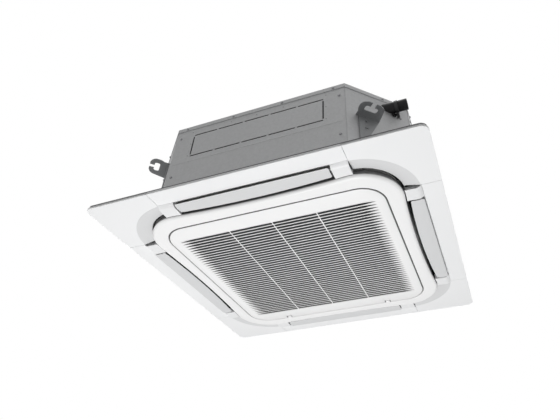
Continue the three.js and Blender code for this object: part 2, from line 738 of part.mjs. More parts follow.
// A slanted corner with edges that lap behind the long sides.
function cornerPanel() {
  const lap = BODY_HALF - SHEET - CLEAR;
  const bend = BODY_SUM - lap;
  const inner = lap - SHEET;
  const innerBend = BODY_SUM - SHEET * Math.SQRT2 - inner;
  const end = CORNER_LAP_AT;
  const outline = [
    point(end, -lap), point(bend, -lap), point(lap, -bend), point(lap, -end),
    point(inner, -end), point(inner, -innerBend), point(innerBend, -inner), point(end, -inner),
  ];
  return prism(outline, [BODY_BOTTOM, BODY_TOP - SHEET - CLEAR]);
}

function drainHole() {
  return pinAlongX(HOSE_START - 10, HOSE_END + 10, DRAIN_Y, DRAIN_Z, DRAIN_BORE_R + 0.7, 16);
}

function pipeHole({ x, y, z, r }) {
  const reach = 40;
  return rod(
    new THREE.Vector3(x - reach, y + reach, z),
    new THREE.Vector3(x + reach, y - reach, z),
    r + 1.5,
    16,
  );
}

// Sheet hanger in the corner frame: an upright flange cut on the slant, and a lug that widens
// from its root, with an open T slot whose head has rounded corners.
function hangerBracket() {
  const { neck, half, from, to, round } = T_SLOT;
  const eased = [[from, half - round], [from + 0.3 * round, half - 0.3 * round], [from + round, half]];
  const head = [...eased, ...[...eased].reverse().map(([out, across]) => [from + to - out, across])];
  const tip = [[LUG_REACH, neck], [LUG_REACH, LUG_TIP_HALF - 3], [LUG_REACH - 1.5, LUG_TIP_HALF]];
  const upper = [...head, [to, neck], ...tip, ...[...LUG_EDGE].reverse()];
  const lower = upper.map(([out, across]) => [out, -across]).reverse();
  const outline = [...upper, ...lower].map(([out, across]) => point(out, across + LUG_ALONG));
  const lug = prism(outline, [LUG_TOP - LUG_SHEET, LUG_TOP]);
  const plate = LUG_FLANGE.map(([along, z]) => point(along + LUG_ALONG, z));
  const flange = bar(plate, [CLEAR, CLEAR + LUG_SHEET]);
  const holes = [LUG_WINDOW, LUG_SLOT].map((hole) =>
    box([-1, 6], [LUG_ALONG - hole.half, LUG_ALONG + hole.half], [hole.low, hole.high]));
  return cut(join(lug, flange), ...holes);
}

function insulationLiner() {
  const outer = octagon(BODY_HALF - SHEET - 2 * CLEAR - SHEET, BODY_SUM - 4);
  const inset = LINER;
  const inner = octagon(BODY_HALF - 2 * SHEET - 2 * CLEAR - inset, BODY_SUM - 4 - inset * Math.SQRT2);
  const top = BODY_TOP - SHEET - CLEAR;
  const shell = cut(prism(outer, [PAN_TOP + CLEAR, top]), prism(inner, [0, top - LINER]));
  const bay = [-MOTOR_BAY.half, MOTOR_BAY.half];
  const motorBay = box(bay, bay, [MOTOR_BAY.low, BODY_TOP + 10]);
  const drainBay = box(
    DRAIN_BAY.x,
    [DRAIN_Y - DRAIN_BAY.half, DRAIN_Y + DRAIN_BAY.half],
    [DRAIN_Z - DRAIN_BAY.half, DRAIN_Z + DRAIN_BAY.half],
  );
  const holes = Object.values(REFRIGERANT_PIPES).map((p) => mirroredY(pipeHole(p)));
  return cut(shell, motorBay, drainBay, ...holes);
}

function mirroredY(body) {
  const flipped = geometryOf(body).applyMatrix4(new THREE.Matrix4().makeScale(1, -1, 1));
  const position = flipped.getAttribute("position");
  for (let i = 0; i < position.count; i += 3) {
    const [x, y, z] = [position.getX(i), position.getY(i), position.getZ(i)];
    position.setXYZ(i, position.getX(i + 1), position.getY(i + 1), position.getZ(i + 1));
    position.setXYZ(i + 1, x, y, z);
  }
  return solid(flipped);
}

// ---- Air and water works --------------------------------------------------------------
// Plan of the coil: a band that follows a rounded square and stays open at the back right.
function coilBand(offset) {
  const half = COIL_HALF + offset;
  const radius = COIL_CORNER_R + offset;
  const straight = half - radius;
  const points = [point(half, COIL_ENDS_AT)];
  for (let corner = 0; corner < 3; corner++) {
    const turn = -corner * (Math.PI / 2);
    for (let i = 0; i <= 6; i++) {
      const angle = turn - (i / 6) * (Math.PI / 2);
      const middle = turn - Math.PI / 4;
      const reach = straight * Math.SQRT2;
      const x = reach * Math.cos(middle) + radius * Math.cos(angle);
      points.push(point(x, reach * Math.sin(middle) + radius * Math.sin(angle)));
    }
  }
  points.push(point(COIL_ENDS_AT, half));
  return points;
}

function heatExchanger() {
  const outline = [...coilBand(0), ...coilBand(-COIL_DEPTH).reverse()];
  return prism(outline, [PAN_FLOOR + CLEAR, COIL_TOP]);
}

function coilHeader() {
  const at = (y, z) => new THREE.Vector3(HEADER.x, y, z);
  const { y, r, low, high, stubs: levels, stubR } = HEADER;
  const post = rod(at(y, low), at(y, high), r, 14);
  const stubs = levels.map((z) => rod(at(COIL_ENDS_AT + CLEAR, z), at(y, z), stubR, 8));
  return join(post, ...stubs);
}

// Refrigerant pipe from the header out through the slanted corner, with its nut and cap.
function refrigerantPipe({ x, y, z, r }) {
  const wall = new THREE.Vector3(x, -y, z);
  const out = new THREE.Vector3(1, 1, 0).normalize();
  const past = (distance) => wall.clone().addScaledVector(out, distance);
  const bendEnd = past(PIPE_RUN.bend);
  const start = new THREE.Vector3(HEADER.x, HEADER.y + HEADER.r + CLEAR, z);
  const elbow = new THREE.Vector3(start.x, bendEnd.y - (bendEnd.x - start.x), z);
  const path = new THREE.CurvePath();
  path.add(new THREE.QuadraticBezierCurve3(start, elbow, bendEnd));
  path.add(new THREE.LineCurve3(bendEnd, past(PIPE_RUN.end)));
  const nut = rod(...PIPE_RUN.nut.map(past), r * PIPE_RUN.nutRatio, 6);
  const cap = rod(...PIPE_RUN.cap.map(past), r * PIPE_RUN.capRatio, 16);
  return join(pipe(path, r, 7, 8), nut, cap);
}

// Outlet past the tray: a long slot whose ends also feed the corner slots.
function outletDuct() {
  const { half, straight, outer, shoulder, inner } = DUCT;
  return [
    point(-half, -shoulder), point(-straight, -outer), point(straight, -outer),
    point(half, -shoulder), point(half, -inner), point(-half, -inner),
  ];
}

function drainPan() {
  const height = [PAN_BOTTOM, PAN_TOP];
  const hole = roundedSquare(TRAY_HOLE.half, TRAY_HOLE.r, 4);
  const plate = prism(roundedSquare(TRAY_HALF, TRAY_R, 5), height, [hole]);
  const rebate = prism(
    roundedSquare(BELL_HALF + CLEAR, REBATE_R, 4),
    [0, BELL_PLATE_Z + BELL_SHEET + CLEAR],
  );
  const innerStep = COIL_DEPTH + TROUGH.inner;
  const trough = prism(
    roundedSquare(COIL_HALF + TROUGH.outer, COIL_CORNER_R + TROUGH.outer, 5),
    [PAN_FLOOR, 100],
    [roundedSquare(COIL_HALF - innerStep, COIL_CORNER_R - innerStep, 5)],
  );
  const sump = prism(circle(PUMP.x, PUMP.y, PUMP.r + PUMP.wellMargin, 16), [SUMP_FLOOR, 100]);
  const floatWell = prism(circle(FLOAT.x, FLOAT.y, FLOAT.wellR, 16), [PAN_FLOOR, 100]);
  return cut(plate, rebate, trough, sump, floatWell);
}

// Foam frame between the tray and the casing; the four outlet ducts are cut in its inner edge.
function outletFrame() {
  const outline = octagon(BODY_HALF - 2 * SHEET - 2 * CLEAR, BODY_SUM - 4);
  const opening = roundedSquare(TRAY_HALF + CLEAR, TRAY_R + CLEAR, 5);
  const frame = prism(outline, [PAN_BOTTOM, PAN_TOP], [opening]);
  return cut(frame, ...SIDES.map((_, k) => turnedCopy(prism(outletDuct(), [0, 100]), k)));
}

// Pump body standing in the sump, its motor, and an arm with the float's stem.
function drainPump() {
  const upright = (x, y, [z0, z1], radius, sides) =>
    rod(new THREE.Vector3(x, y, z0), new THREE.Vector3(x, y, z1), radius, sides);
  const body = upright(PUMP.x, PUMP.y, [PUMP.low, PUMP.top], PUMP.r, 14);
  const foot = upright(PUMP.x, PUMP.y, [SUMP_FLOOR + CLEAR, PUMP.low + 2], PUMP.footR, 10);
  const motor = upright(PUMP.motorX, PUMP.y, [PUMP.top - 1, PUMP.motorTop], PUMP.motorR, 12);
  const armHeight = FLOAT.arm;
  const stem = upright(FLOAT.x, FLOAT.y, [FLOAT.stemLow, armHeight[1]], FLOAT.stemR, 10);
  const stop = upright(FLOAT.x, FLOAT.y, [FLOAT.stemLow, FLOAT.low - CLEAR], FLOAT.stopR, 12);
  const armStart = PUMP.x + 8;
  const arm = box([armStart, FLOAT.x + 4], [FLOAT.y - 6, FLOAT.y + 4], armHeight);
  const root = box([armStart, armStart + 10], [PUMP.y + 18, FLOAT.y + 4], armHeight);
  return join(body, foot, motor, stem, stop, arm, root);
}

function pumpFloat() {
  const { low, high, r } = FLOAT;
  const section = [point(4, low), point(r, low + 1.5), point(r, high - 1.5), point(4, high)];
  return moved(turned(section, 16), FLOAT.x, FLOAT.y, 0);
}

// From the pump's outlet up, over a bend and out through the slanted wall.
function drainPipe() {
  const bend = DRAIN_BEND;
  const at = (x, z) => new THREE.Vector3(x, DRAIN_Y, z);
  const x = PUMP.outletX;
  const path = new THREE.CurvePath();
  const bendStart = at(x, DRAIN_Z - bend);
  const bendEnd = at(x + bend, DRAIN_Z);
  path.add(new THREE.LineCurve3(at(x, PUMP.top + CLEAR), bendStart));
  path.add(new THREE.QuadraticBezierCurve3(bendStart, at(x, DRAIN_Z), bendEnd));
  path.add(new THREE.LineCurve3(bendEnd, at(DRAIN_PIPE_END, DRAIN_Z)));
  return pipe(path, DRAIN_BORE_R - 0.5, 7);
}

// Everything that lies inside the slanted front right wall, used to trim what leaves it.
function insideOfCorner(margin) {
  const [far, reach] = [500, 300];
  const wall = BODY_SUM + margin * Math.SQRT2;
  const near = far - reach;
  return prism(
    [point(wall - far, -far), point(far, -wall + far), point(near, -wall + far + reach),
      point(wall - far - reach, -near)],
    [0, BODY_TOP + 30],
  );
}

function drainHose() {
  const tube = pinAlongX(HOSE_START, HOSE_END, DRAIN_Y, DRAIN_Z, HOSE_R, 16);
  const bore = pinAlongX(HOSE_START - 10, HOSE_END + 10, DRAIN_Y, DRAIN_Z, DRAIN_BORE_R, 16);
  return cut(tube, bore, insideOfCorner(1));
}

function hoseClamp() {
  const disc = (x0, x1, radius) => pinAlongX(x0, x1, DRAIN_Y, DRAIN_Z, radius, 16);
  const { x: [x0, x1], gap, sheet, screwAt, screwR, ear: [earFrom, earTo] } = CLAMP;
  const hose = disc(x0 - 1, x1 + 1, HOSE_R + gap);
  const band = cut(disc(x0, x1, HOSE_R + gap + sheet), hose);
  const middle = (x0 + x1) / 2;
  const earHeight = [DRAIN_Z + screwAt - 2 * screwR, DRAIN_Z + screwAt + 3 * screwR];
  const ear = box([x0 + 1, x1 - 1], [DRAIN_Y + earFrom, DRAIN_Y + earTo], earHeight);
  const screw = rod(
    new THREE.Vector3(middle, DRAIN_Y + earFrom - 4, DRAIN_Z + screwAt),
    new THREE.Vector3(middle, DRAIN_Y + earTo + 5, DRAIN_Z + screwAt),
    screwR,
    10,
  );
  return join(band, cut(ear, hose), screw);
}

// Square plate with a flared throat that leads the air into the fan.
function bellMouth() {
  const plate = prism(
    roundedSquare(BELL_HALF - 2, BELL_CORNER_R, 4),
    [BELL_PLATE_Z, BELL_PLATE_Z + BELL_SHEET],
    [circle(0, 0, BELL_MOUTH_R - 2, ROUND_FACETS)],
  );
  const steps = 3;
  const rise = BELL_TOP - BELL_PLATE_Z;
  const inside = [];
  const outside = [];
  for (let i = 0; i <= steps; i++) {
    const angle = (i / steps) * (Math.PI / 2);
    const radius = BELL_MOUTH_R - (BELL_MOUTH_R - BELL_THROAT_R) * Math.sin(angle);
    const z = BELL_PLATE_Z + rise * 0.75 * (1 - Math.cos(angle));
    inside.push(point(radius, z));
    outside.unshift(point(radius + BELL_SHEET * Math.sin(angle), z + BELL_SHEET * Math.cos(angle)));
  }
  const throat = [point(BELL_THROAT_R, BELL_TOP), point(BELL_THROAT_R + BELL_SHEET, BELL_TOP)];
  return join(plate, turned([...inside, ...throat, ...outside], ROUND_FACETS));
}

// Backward-curved blade in plan, thick in its first half and thin at the tip.
function bladeOutline(startAngle) {
  const steps = 3;
  const [r1, r2] = [BLADE.from, FAN_R - BLADE.tipGap];
  const centre = (part) => {
    const angle = startAngle - BLADE.sweep * part ** 0.85;
    const radius = r1 + (r2 - r1) * part;
    return point(radius * Math.cos(angle), radius * Math.sin(angle));
  };
  const near = [];
  const far = [];
  for (let i = 0; i <= steps; i++) {
    const part = i / steps;
    const along = centre(Math.min(1, part + 0.02)).sub(centre(Math.max(0, part - 0.02))).normalize();
    const half = 1 + BLADE.thickest * Math.sqrt(part) * (1 - part) + 0.4 * (1 - part);
    const across = point(-along.y, along.x).multiplyScalar(half);
    near.push(centre(part).sub(across));
    far.unshift(centre(part).add(across));
  }
  return [...near, ...far];
}

function shroudLine(steps) {
  const line = [];
  for (let i = 0; i <= steps; i++) {
    const angle = (i / steps) * (Math.PI / 2);
    const radius = FAN_EYE_R + (FAN_R - FAN_EYE_R) * (1 - Math.cos(angle));
    line.push(point(radius, FAN_LOW + SHROUD_RISE * Math.sin(angle)));
  }
  return line;
}

function turboFan() {
  const skin = FAN_SKIN;
  const under = shroudLine(3);
  const over = under.map((p) => point(p.x, p.y + skin)).reverse();
  const shroud = turned([...under, ...over], ROUND_FACETS);
  const { bore, bossR, bossLow, plateLow, plateR, coneR } = HUB;
  const hubUnder = [
    point(bore, bossLow), point(bossR, bossLow), point(bossR, plateLow), point(plateR, plateLow),
    point(coneR, FAN_TOP - skin), point(FAN_R, FAN_TOP - skin),
  ];
  const hubOver = [
    point(FAN_R, FAN_TOP), point(coneR - 2, FAN_TOP),
    point(plateR - 2, plateLow + 3), point(bore, plateLow + 3),
  ];
  const hub = turned([...hubUnder, ...hubOver], ROUND_FACETS);
  const trim = shroudLine(3).map((p) => point(p.x, p.y + skin / 2)).reverse();
  const eyeTop = FAN_LOW + 14;
  const below = turned(
    [point(0, 0), point(FAN_R, 0), ...trim, point(FAN_EYE_R, eyeTop), point(0, eyeTop)],
    ROUND_FACETS,
  );
  const blades = Array.from({ length: BLADES }, (_, i) =>
    cut(prism(bladeOutline((2 * Math.PI * i) / BLADES), [FAN_LOW, FAN_TOP - 1]), below));
  return join(hub, shroud, ...blades);
}

function fanNut() {
  const nut = prism(circle(0, 0, NUT.r, 6), [NUT.low, NUT.high]);
  const from = new THREE.Vector3(0, 0, NUT.low + 4);
  const thread = rod(from, from.clone().setZ(NUT.high + 6), NUT.thread, 16);
  return cut(nut, thread);
}

function fanMotor() {
  const { shaftR, shaftLow, neckR, neckLow, low, shoulder, high } = MOTOR;
  const can = turned(
    [
      point(0, shaftLow), point(shaftR, shaftLow), point(shaftR, neckLow), point(neckR, neckLow),
      point(neckR + 2, low), point(MOTOR_R - 12, low), point(MOTOR_R, shoulder),
      point(MOTOR_R, high - 8), point(MOTOR_R - 8, high), point(0, high),
    ],
    14,
  );
  const { from, to, half, sheet } = MOTOR_EAR;
  const ear = box([from, to], [-half, half], [MOTOR_EAR_TOP - sheet, MOTOR_EAR_TOP]);
  const ears = [0, 1, 2, 3].map((k) => turnedCopy(ear, k));
  return join(can, ...ears);
}

function motorBracket() {
  const roof = BODY_TOP - SHEET - CLEAR;
  const { half, r, sheet } = MOTOR_PLATE;
  const plate = prism(roundedSquare(half, r, 2), [roof - sheet, roof]);
  const posts = [0, 1, 2, 3].map((k) => {
    const foot = new THREE.Vector3(MOTOR_EAR.post, 0, MOTOR_EAR_TOP + CLEAR);
    return turnedCopy(rod(foot, foot.clone().setZ(roof - 1), MOTOR_EAR.postR, 8), k);
  });
  return join(plate, ...posts);
}

// ---- Electrics ------------------------------------------------------------------------
function grown([low, high], margin) {
  return [low - margin, high + margin];
}

function controlBox() {
  const { x, y, low, sheet } = CONTROL_BOX;
  const top = BELL_PLATE_Z - CLEAR;
  return cut(box(x, y, [low, top]), box(grown(x, -sheet), grown(y, -sheet), [0, top - sheet]));
}

// Lid that closes the box from below and folds up round it.
function controlBoxCover() {
  const { x, y, low, sheet } = CONTROL_BOX;
  const { fit, rise } = LID;
  const height = [low - CLEAR - sheet, low + rise];
  const lid = box(grown(x, fit + sheet), grown(y, fit + sheet), height);
  return cut(lid, box(grown(x, fit), grown(y, fit), [low - CLEAR, low + rise + 2]));
}

function terminalBlock() {
  const roof = BELL_PLATE_Z - CLEAR - CONTROL_BOX.sheet;
  const { x, y, height, count, pitch, slot, depth } = TERMINALS;
  const base = box(x, y, [roof - height, roof - CLEAR]);
  const slots = Array.from({ length: count }, (_, i) => {
    const start = y[0] + 5 + pitch * i;
    return box(grown(x, -4), [start, start + slot], [0, roof - height + depth]);
  });
  return cut(base, ...slots);
}

// ---- Assembly -------------------------------------------------------------------------
place(cassette, "panel_frame", panelFrame(), "white_plastic");
place(cassette, "inner_ring", innerRing(), "white_plastic");
place(cassette, "panel_gasket", panelGasket(), "foam");
place(cassette, "intake_grille", intakeGrille(), "white_plastic");
place(cassette, "air_filter", airFilter(), "filter_mesh");
place(cassette, "grille_hinge_pin_left", hingePin(-HINGE_X), "dark_steel");
place(cassette, "grille_hinge_pin_right", hingePin(HINGE_X), "dark_steel");

SIDES.forEach((side, index) => {
  const group = sideGroup(index);
  place(group, `vane_${side}`, vane(), "vane_plastic");
  place(group, `vane_motor_${side}`, vaneMotor(), "grey_plastic");
  place(group, `vane_block_${side}_b`, vaneBlock(), "white_plastic");
  const otherEnd = new THREE.Group();
  otherEnd.scale.x = -1;
  group.add(otherEnd);
  place(otherEnd, `vane_block_${side}_a`, vaneBlock(), "white_plastic");
  const hasKnockout = side === "front";
  place(group, `${side}_panel`, sidePanel(hasKnockout), "galvanised");
});

for (const corner of CORNERS) {
  const group = cornerGroup(corner);
  place(group, `corner_cover_${corner.name}`, cornerCover(), "white_plastic");
  let panel = cornerPanel();
  if (corner.name === "front_right") panel = cut(panel, drainHole());
  if (corner.name === "back_right") {
    panel = cut(panel, ...Object.values(REFRIGERANT_PIPES).map(pipeHole));
  }
  place(group, `corner_panel_${corner.name}`, panel, "galvanised");
  const wallFrame = new THREE.Group();
  wallFrame.position.set(BODY_SUM / 2, -BODY_SUM / 2, 0);
  wallFrame.rotation.z = -Math.PI / 4;
  group.add(wallFrame);
  place(wallFrame, `hanger_bracket_${corner.name}`, hangerBracket(), "galvanised");
}

place(cassette, "top_plate", topPlate(), "galvanised");
place(cassette, "insulation_liner", insulationLiner(), "expanded_foam");
place(cassette, "drain_pan", drainPan(), "expanded_foam");
place(cassette, "outlet_frame", outletFrame(), "expanded_foam");
place(cassette, "heat_exchanger", heatExchanger(), "aluminium");
place(cassette, "coil_header", coilHeader(), "copper");
place(cassette, "gas_pipe", refrigerantPipe(REFRIGERANT_PIPES.gas), "copper");
place(cassette, "liquid_pipe", refrigerantPipe(REFRIGERANT_PIPES.liquid), "copper");
place(cassette, "drain_pump", drainPump(), "grey_plastic");
place(cassette, "pump_float", pumpFloat(), "grey_plastic");
place(cassette, "drain_pipe", drainPipe(), "grey_plastic");
place(cassette, "drain_hose", drainHose(), "black_rubber");
place(cassette, "hose_clamp", hoseClamp(), "dark_steel");
place(cassette, "bell_mouth", bellMouth(), "grey_plastic");
place(cassette, "turbo_fan", turboFan(), "grey_plastic");
place(cassette, "fan_nut", fanNut(), "dark_steel");
place(cassette, "fan_motor", fanMotor(), "dark_steel");
place(cassette, "motor_bracket", motorBracket(), "galvanised");
place(cassette, "control_box", controlBox(), "galvanised");
place(cassette, "control_box_cover", controlBoxCover(), "galvanised");
place(cassette, "terminal_block", terminalBlock(), "grey_plastic");

export default cassette;
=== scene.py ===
"""Looks of the four-way ceiling cassette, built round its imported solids. Lengths in mm."""
import json
import math

import bmesh
import bpy
import numpy as np
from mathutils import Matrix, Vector

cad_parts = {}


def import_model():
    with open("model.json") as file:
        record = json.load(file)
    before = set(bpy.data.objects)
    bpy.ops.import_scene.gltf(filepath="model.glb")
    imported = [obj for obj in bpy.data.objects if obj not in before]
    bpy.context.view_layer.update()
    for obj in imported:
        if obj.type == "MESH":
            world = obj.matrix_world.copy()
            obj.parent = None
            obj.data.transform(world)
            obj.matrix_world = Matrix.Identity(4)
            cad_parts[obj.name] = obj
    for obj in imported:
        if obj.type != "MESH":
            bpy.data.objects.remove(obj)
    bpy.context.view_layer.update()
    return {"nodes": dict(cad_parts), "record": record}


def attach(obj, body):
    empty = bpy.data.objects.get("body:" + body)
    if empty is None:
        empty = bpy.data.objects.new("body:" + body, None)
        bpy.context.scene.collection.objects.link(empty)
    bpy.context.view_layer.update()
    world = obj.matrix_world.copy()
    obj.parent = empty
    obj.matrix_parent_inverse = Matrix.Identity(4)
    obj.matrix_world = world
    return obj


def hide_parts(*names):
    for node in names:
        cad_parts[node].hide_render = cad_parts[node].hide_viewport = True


MM = 0.001

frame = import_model()
nodes = frame["nodes"]

SIDES = ("front", "right", "back", "left")
CORNERS = {
    "front_right": (1, -1),
    "front_left": (-1, -1),
    "back_right": (1, 1),
    "back_left": (-1, 1),
}

# ---- Dimensions, as in the solids
PANEL_HALF = 475.0
PANEL_CORNER_R = 21.0
PANEL_STEP_IN = 2.2
SET_BACK = PANEL_HALF - PANEL_STEP_IN
RIM_BOTTOM = -10.0
RIM_STEP = -4.0
RIM_WALL = 5.0
RIM_EDGE = 1.4
SKIN = 3.0
SEAM_END = 271.0 - 0.45
COVER_START = 271.0 + 0.45
SLOT_OUTER = 422.0
SLOT_EDGE = 1.0
RECESS_CENTRE = 261.0
RECESS_R = 160.0
RECESS_WIDTH = 43.5
RECESS_RISE = 9.4
COVER_TURN = (0.4, 0.6)

RING_BOTTOM = -25.0
RING_HALF = 375.0
RING_DRAWN_IN = 10.0
RING_R = 118.0
RING_EDGE = 11.0
RING_STEP = 4.0
RING_WALL = 2.5
RING_SHOULDER = -13.0
RING_ROOF = -21.5
RING_LIP = (350, 93)
HOLE_HALF = 328.5
HOLE_R = 71.5
HOLE_EDGE = 2.6

GRILLE_HALF = 326.5
GRILLE_R = 70.0
GRILLE_TOP = -12.0
GRILLE_WALL = 3.5
GRILLE_EDGE = [(2.8, 0), (2.0, 0.45), (1.15, 1.3), (0.4, 2.1), (0, 2.9)]  # inset, rise
FIELD_X = 303.0
FIELD_Y = 268.5
SLAT_PITCH = 13.05
SLAT_GAP = 7.4
SLAT_ROWS = 41
SLAT_HALF = 300.0
SLAT_TAPER = 38.0
SLAT_DEPTH = 5.1
RIB_AT = 133.0
HINGE_X = 190.0
HINGE_Y = 318.5
HINGE_Z = -21.8
EYE_R = 3.1
EYE_BORE_R = 1.8
EYE_HALF = 7
NOTCH_HALF = 8
NOTCH_END = 312.0

VANE_HALF = 219.0
VANE_AXIS = (404.0, -8.5)
VANE_LEVEL = -16.5
VANE_OUTER = 419.3
VANE_INNER = 374
VANE_SWEEP = 9
VANE_ROUND = 5

BLOCK_START = 224.0
BLOCK_BOTTOM = -18
BLOCK_FLAT_TO = 407.0
BLOCK_OUTER = 421.7
BLOCK_SKIN = 2.5
BLOCK_GAP = 2.6

CASING_HALF = 420
CORNER_MIDDLE = 345.75
LUG_MIDDLE = -45

DRAIN_Y = -320.0
DRAIN_Z = 250.0
HOSE_START_SUM = 691.5 - 1.4

FLOOR_Z = -2600.0
WORLD_LIGHT = 0.32


# ---- Surfaces
class Piece:
    """Closed surfaces gathered from grids of points, made into one object at the origin."""

    def __init__(self, name):
        self.name = name
        self.points = []
        self.faces = []
        self.count = 0

    def grid(self, points, rows_close=False, caps=False):
        """Quads between neighbours of a rows x columns x 3 array whose columns close on
        themselves, as its rows may; caps close the end rows.
        """
        points = np.asarray(points, float)
        rows, columns = points.shape[:2]
        index = self.count + np.arange(rows * columns).reshape(rows, columns)
        if rows_close:
            index = np.vstack([index, index[:1]])
        index = np.hstack([index, index[:, :1]])
        quads = np.stack([index[:-1, :-1], index[:-1, 1:], index[1:, 1:], index[1:, :-1]], -1)
        self.faces += quads.reshape(-1, 4).tolist()
        if caps:
            self.faces += [index[0, :columns][::-1].tolist(), index[-1, :columns].tolist()]
        self.points.append(points.reshape(-1, 3))
        self.count += rows * columns
        return self

    def make(self, body, material, replaces=(), slot=None, smooth=35):
        mesh = bpy.data.meshes.new(self.name)
        mesh.from_pydata(np.vstack(self.points) * MM, [], self.faces)
        work = bmesh.new()
        work.from_mesh(mesh)
        bmesh.ops.remove_doubles(work, verts=work.verts, dist=1e-6)
        bmesh.ops.dissolve_degenerate(work, edges=work.edges, dist=1e-6)
        bmesh.ops.recalc_face_normals(work, faces=work.faces)
        work.to_mesh(mesh)
        work.free()
        return finished(mesh, self.name, body, material, replaces, smooth)


def finished(mesh, name, body, material, replaces, smooth, bevel=0.0):
    """Shades a mesh, rounds its edges, and hangs the piece on its body."""
    mesh.shade_smooth()
    mesh.set_sharp_from_angle(angle=math.radians(smooth))
    mesh.materials.clear()
    mesh.materials.append(material)
    piece = bpy.data.objects.new(name, mesh)
    bpy.context.scene.collection.objects.link(piece)
    if bevel:
        edge = piece.modifiers.new("edge", "BEVEL")
        edge.width = bevel * MM
        edge.segments = 2
        edge.limit_method = "ANGLE"
        edge.angle_limit = math.radians(40)
        edge.harden_normals = True
    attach(piece, body)
    if replaces:
        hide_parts(*replaces)
    return piece


def eased(node, body, material, edge, smooth, reshape=None):
    """A merged copy of a flat-faced solid, its flat areas joined and its edges rounded.

    reshape takes the copy's points in mm and gives them back moved.
    """
    mesh = nodes[node].data.copy()
    mesh.name = f"{node}_look"
    if reshape:
        points = np.empty(3 * len(mesh.vertices))
        mesh.vertices.foreach_get("co", points)
        mesh.vertices.foreach_set("co", (reshape(points.reshape(-1, 3) / MM) * MM).ravel())
    work = bmesh.new()
    work.from_mesh(mesh)
    bmesh.ops.remove_doubles(work, verts=work.verts, dist=2e-6)
    flat = math.radians(0.5)
    bmesh.ops.dissolve_limit(work, angle_limit=flat, verts=work.verts, edges=work.edges)
    work.to_mesh(mesh)
    work.free()
    return finished(mesh, f"{node}_look", body, material, [node], smooth, edge)


def turned(points, quarter_turns):
    """Points turned about Z by quarter turns: (x, y) becomes (-y, x) each time."""
    points = np.array(points, float)
    for _ in range(quarter_turns % 4):
        points = np.stack([-points[..., 1], points[..., 0], points[..., 2]], -1)
    return points


def across_x(x, y, z):
    """Places a (y, z) section at x."""
    return np.full(len(y), x), y, z


def layers(pairs):
    """Rows of points from (N x 2 outline, height) pairs."""
    return np.stack([np.column_stack([o, np.full(len(o), z)]) for o, z in pairs])


def rounded_square(half, radius, steps=14, side_steps=24, drawn_in=0.0):
    """Anticlockwise rounded square from its first corner's arc.

    Corner: centre (c, c) with c = half - radius, plus radius (cos t, sin t), t over 90 degrees.
    Side: from the arc's end to the next one, out = half - drawn_in (1 - (along / c)^2).
    """
    centre = half - radius
    t = np.linspace(0, math.pi / 2, steps + 1)
    arc = np.column_stack([centre + radius * np.cos(t), centre + radius * np.sin(t)])
    along = centre * (1 - 2 * np.arange(1, side_steps) / side_steps)
    side = np.column_stack([along, half - drawn_in * (1 - (along / centre) ** 2)])
    quarter = np.vstack([arc, side])
    turns = [quarter]
    for _ in range(3):
        last = turns[-1]
        turns.append(np.column_stack([-last[:, 1], last[:, 0]]))
    return np.vstack(turns)


def inset(outline, distance):
    """Each point moved along its two edges' shared bisector, p - d (n1 + n2) / (1 + n1.n2)."""
    edge = np.roll(outline, -1, axis=0) - outline
    edge /= np.linalg.norm(edge, axis=1, keepdims=True)
    after = np.column_stack([edge[:, 1], -edge[:, 0]])
    before = np.roll(after, 1, axis=0)
    share = 1 + np.sum(before * after, axis=1, keepdims=True)
    return outline - distance * (before + after) / share


def fillet(radius, z, steps):
    """(inset, height) along a quarter round at a lower edge, from its foot up to the wall."""
    t = np.linspace(0, math.pi / 2, steps + 1)
    return np.column_stack([radius * (1 - np.sin(t)), z + radius * (1 - np.cos(t))])


def swept(section, stations, place):
    """A closed (u, v) section repeated at each station; place(station, u, v) gives x, y, z."""
    u, v = np.asarray(section, float).T
    return np.stack([np.column_stack(place(s, u, v)) for s in stations])


def tube(path, radius, sides=24):
    """Rings of a circle carried along a path, r (cos t N + sin t B) about each point.

    N starts square to the first step and is kept square to each later one.
    """
    path = np.asarray(path, float)
    radius = np.broadcast_to(radius, len(path))
    step = np.gradient(path, axis=0)
    step /= np.linalg.norm(step, axis=1, keepdims=True)
    t = 2 * math.pi * np.arange(sides) / sides
    normal = np.array((0.0, 0.0, 1.0) if abs(step[0, 2]) < 0.9 else (1.0, 0.0, 0.0))
    rings = []
    for centre, along, r in zip(path, step, radius):
        normal = normal - np.dot(normal, along) * along
        normal /= np.linalg.norm(normal)
        side = np.cross(along, normal)
        rings.append(centre + r * (np.cos(t)[:, None] * normal + np.sin(t)[:, None] * side))
    return np.stack(rings)


def rod(start, end, radius, sides, edge):
    """A round bar from start to end with its end edges rounded off by `edge`."""
    start, end = np.asarray(start, float), np.asarray(end, float)
    along = (end - start) / np.linalg.norm(end - start)
    path = [start, start + along * edge, end - along * edge, end]
    return tube(path, [radius - edge, radius, radius, radius - edge], sides)


def turned_section(section, sides=96):
    """An (r, z) section carried round Z: rows are section points, columns are angles."""
    r, z = np.asarray(section, float).T
    t = 2 * math.pi * np.arange(sides) / sides
    x = r[:, None] * np.cos(t)
    y = r[:, None] * np.sin(t)
    return np.stack([x, y, np.broadcast_to(z[:, None], x.shape)], -1)


def head_on(centre, normal, section, sides):
    """An (r, h) section carried round an axis on a face, c + h n + r (cos t a + sin t b)."""
    normal = np.asarray(normal, float)
    normal = normal / np.linalg.norm(normal)
    first = np.cross(normal, (0, 0, 1) if abs(normal[2]) < 0.9 else (1, 0, 0))
    first /= np.linalg.norm(first)
    second = np.cross(normal, first)
    t = (2 * math.pi * np.arange(sides) / sides)[None, :, None]
    r, h = np.asarray(section, float).T[..., None, None]
    return np.asarray(centre, float) + h * normal + r * (np.cos(t) * first + np.sin(t) * second)


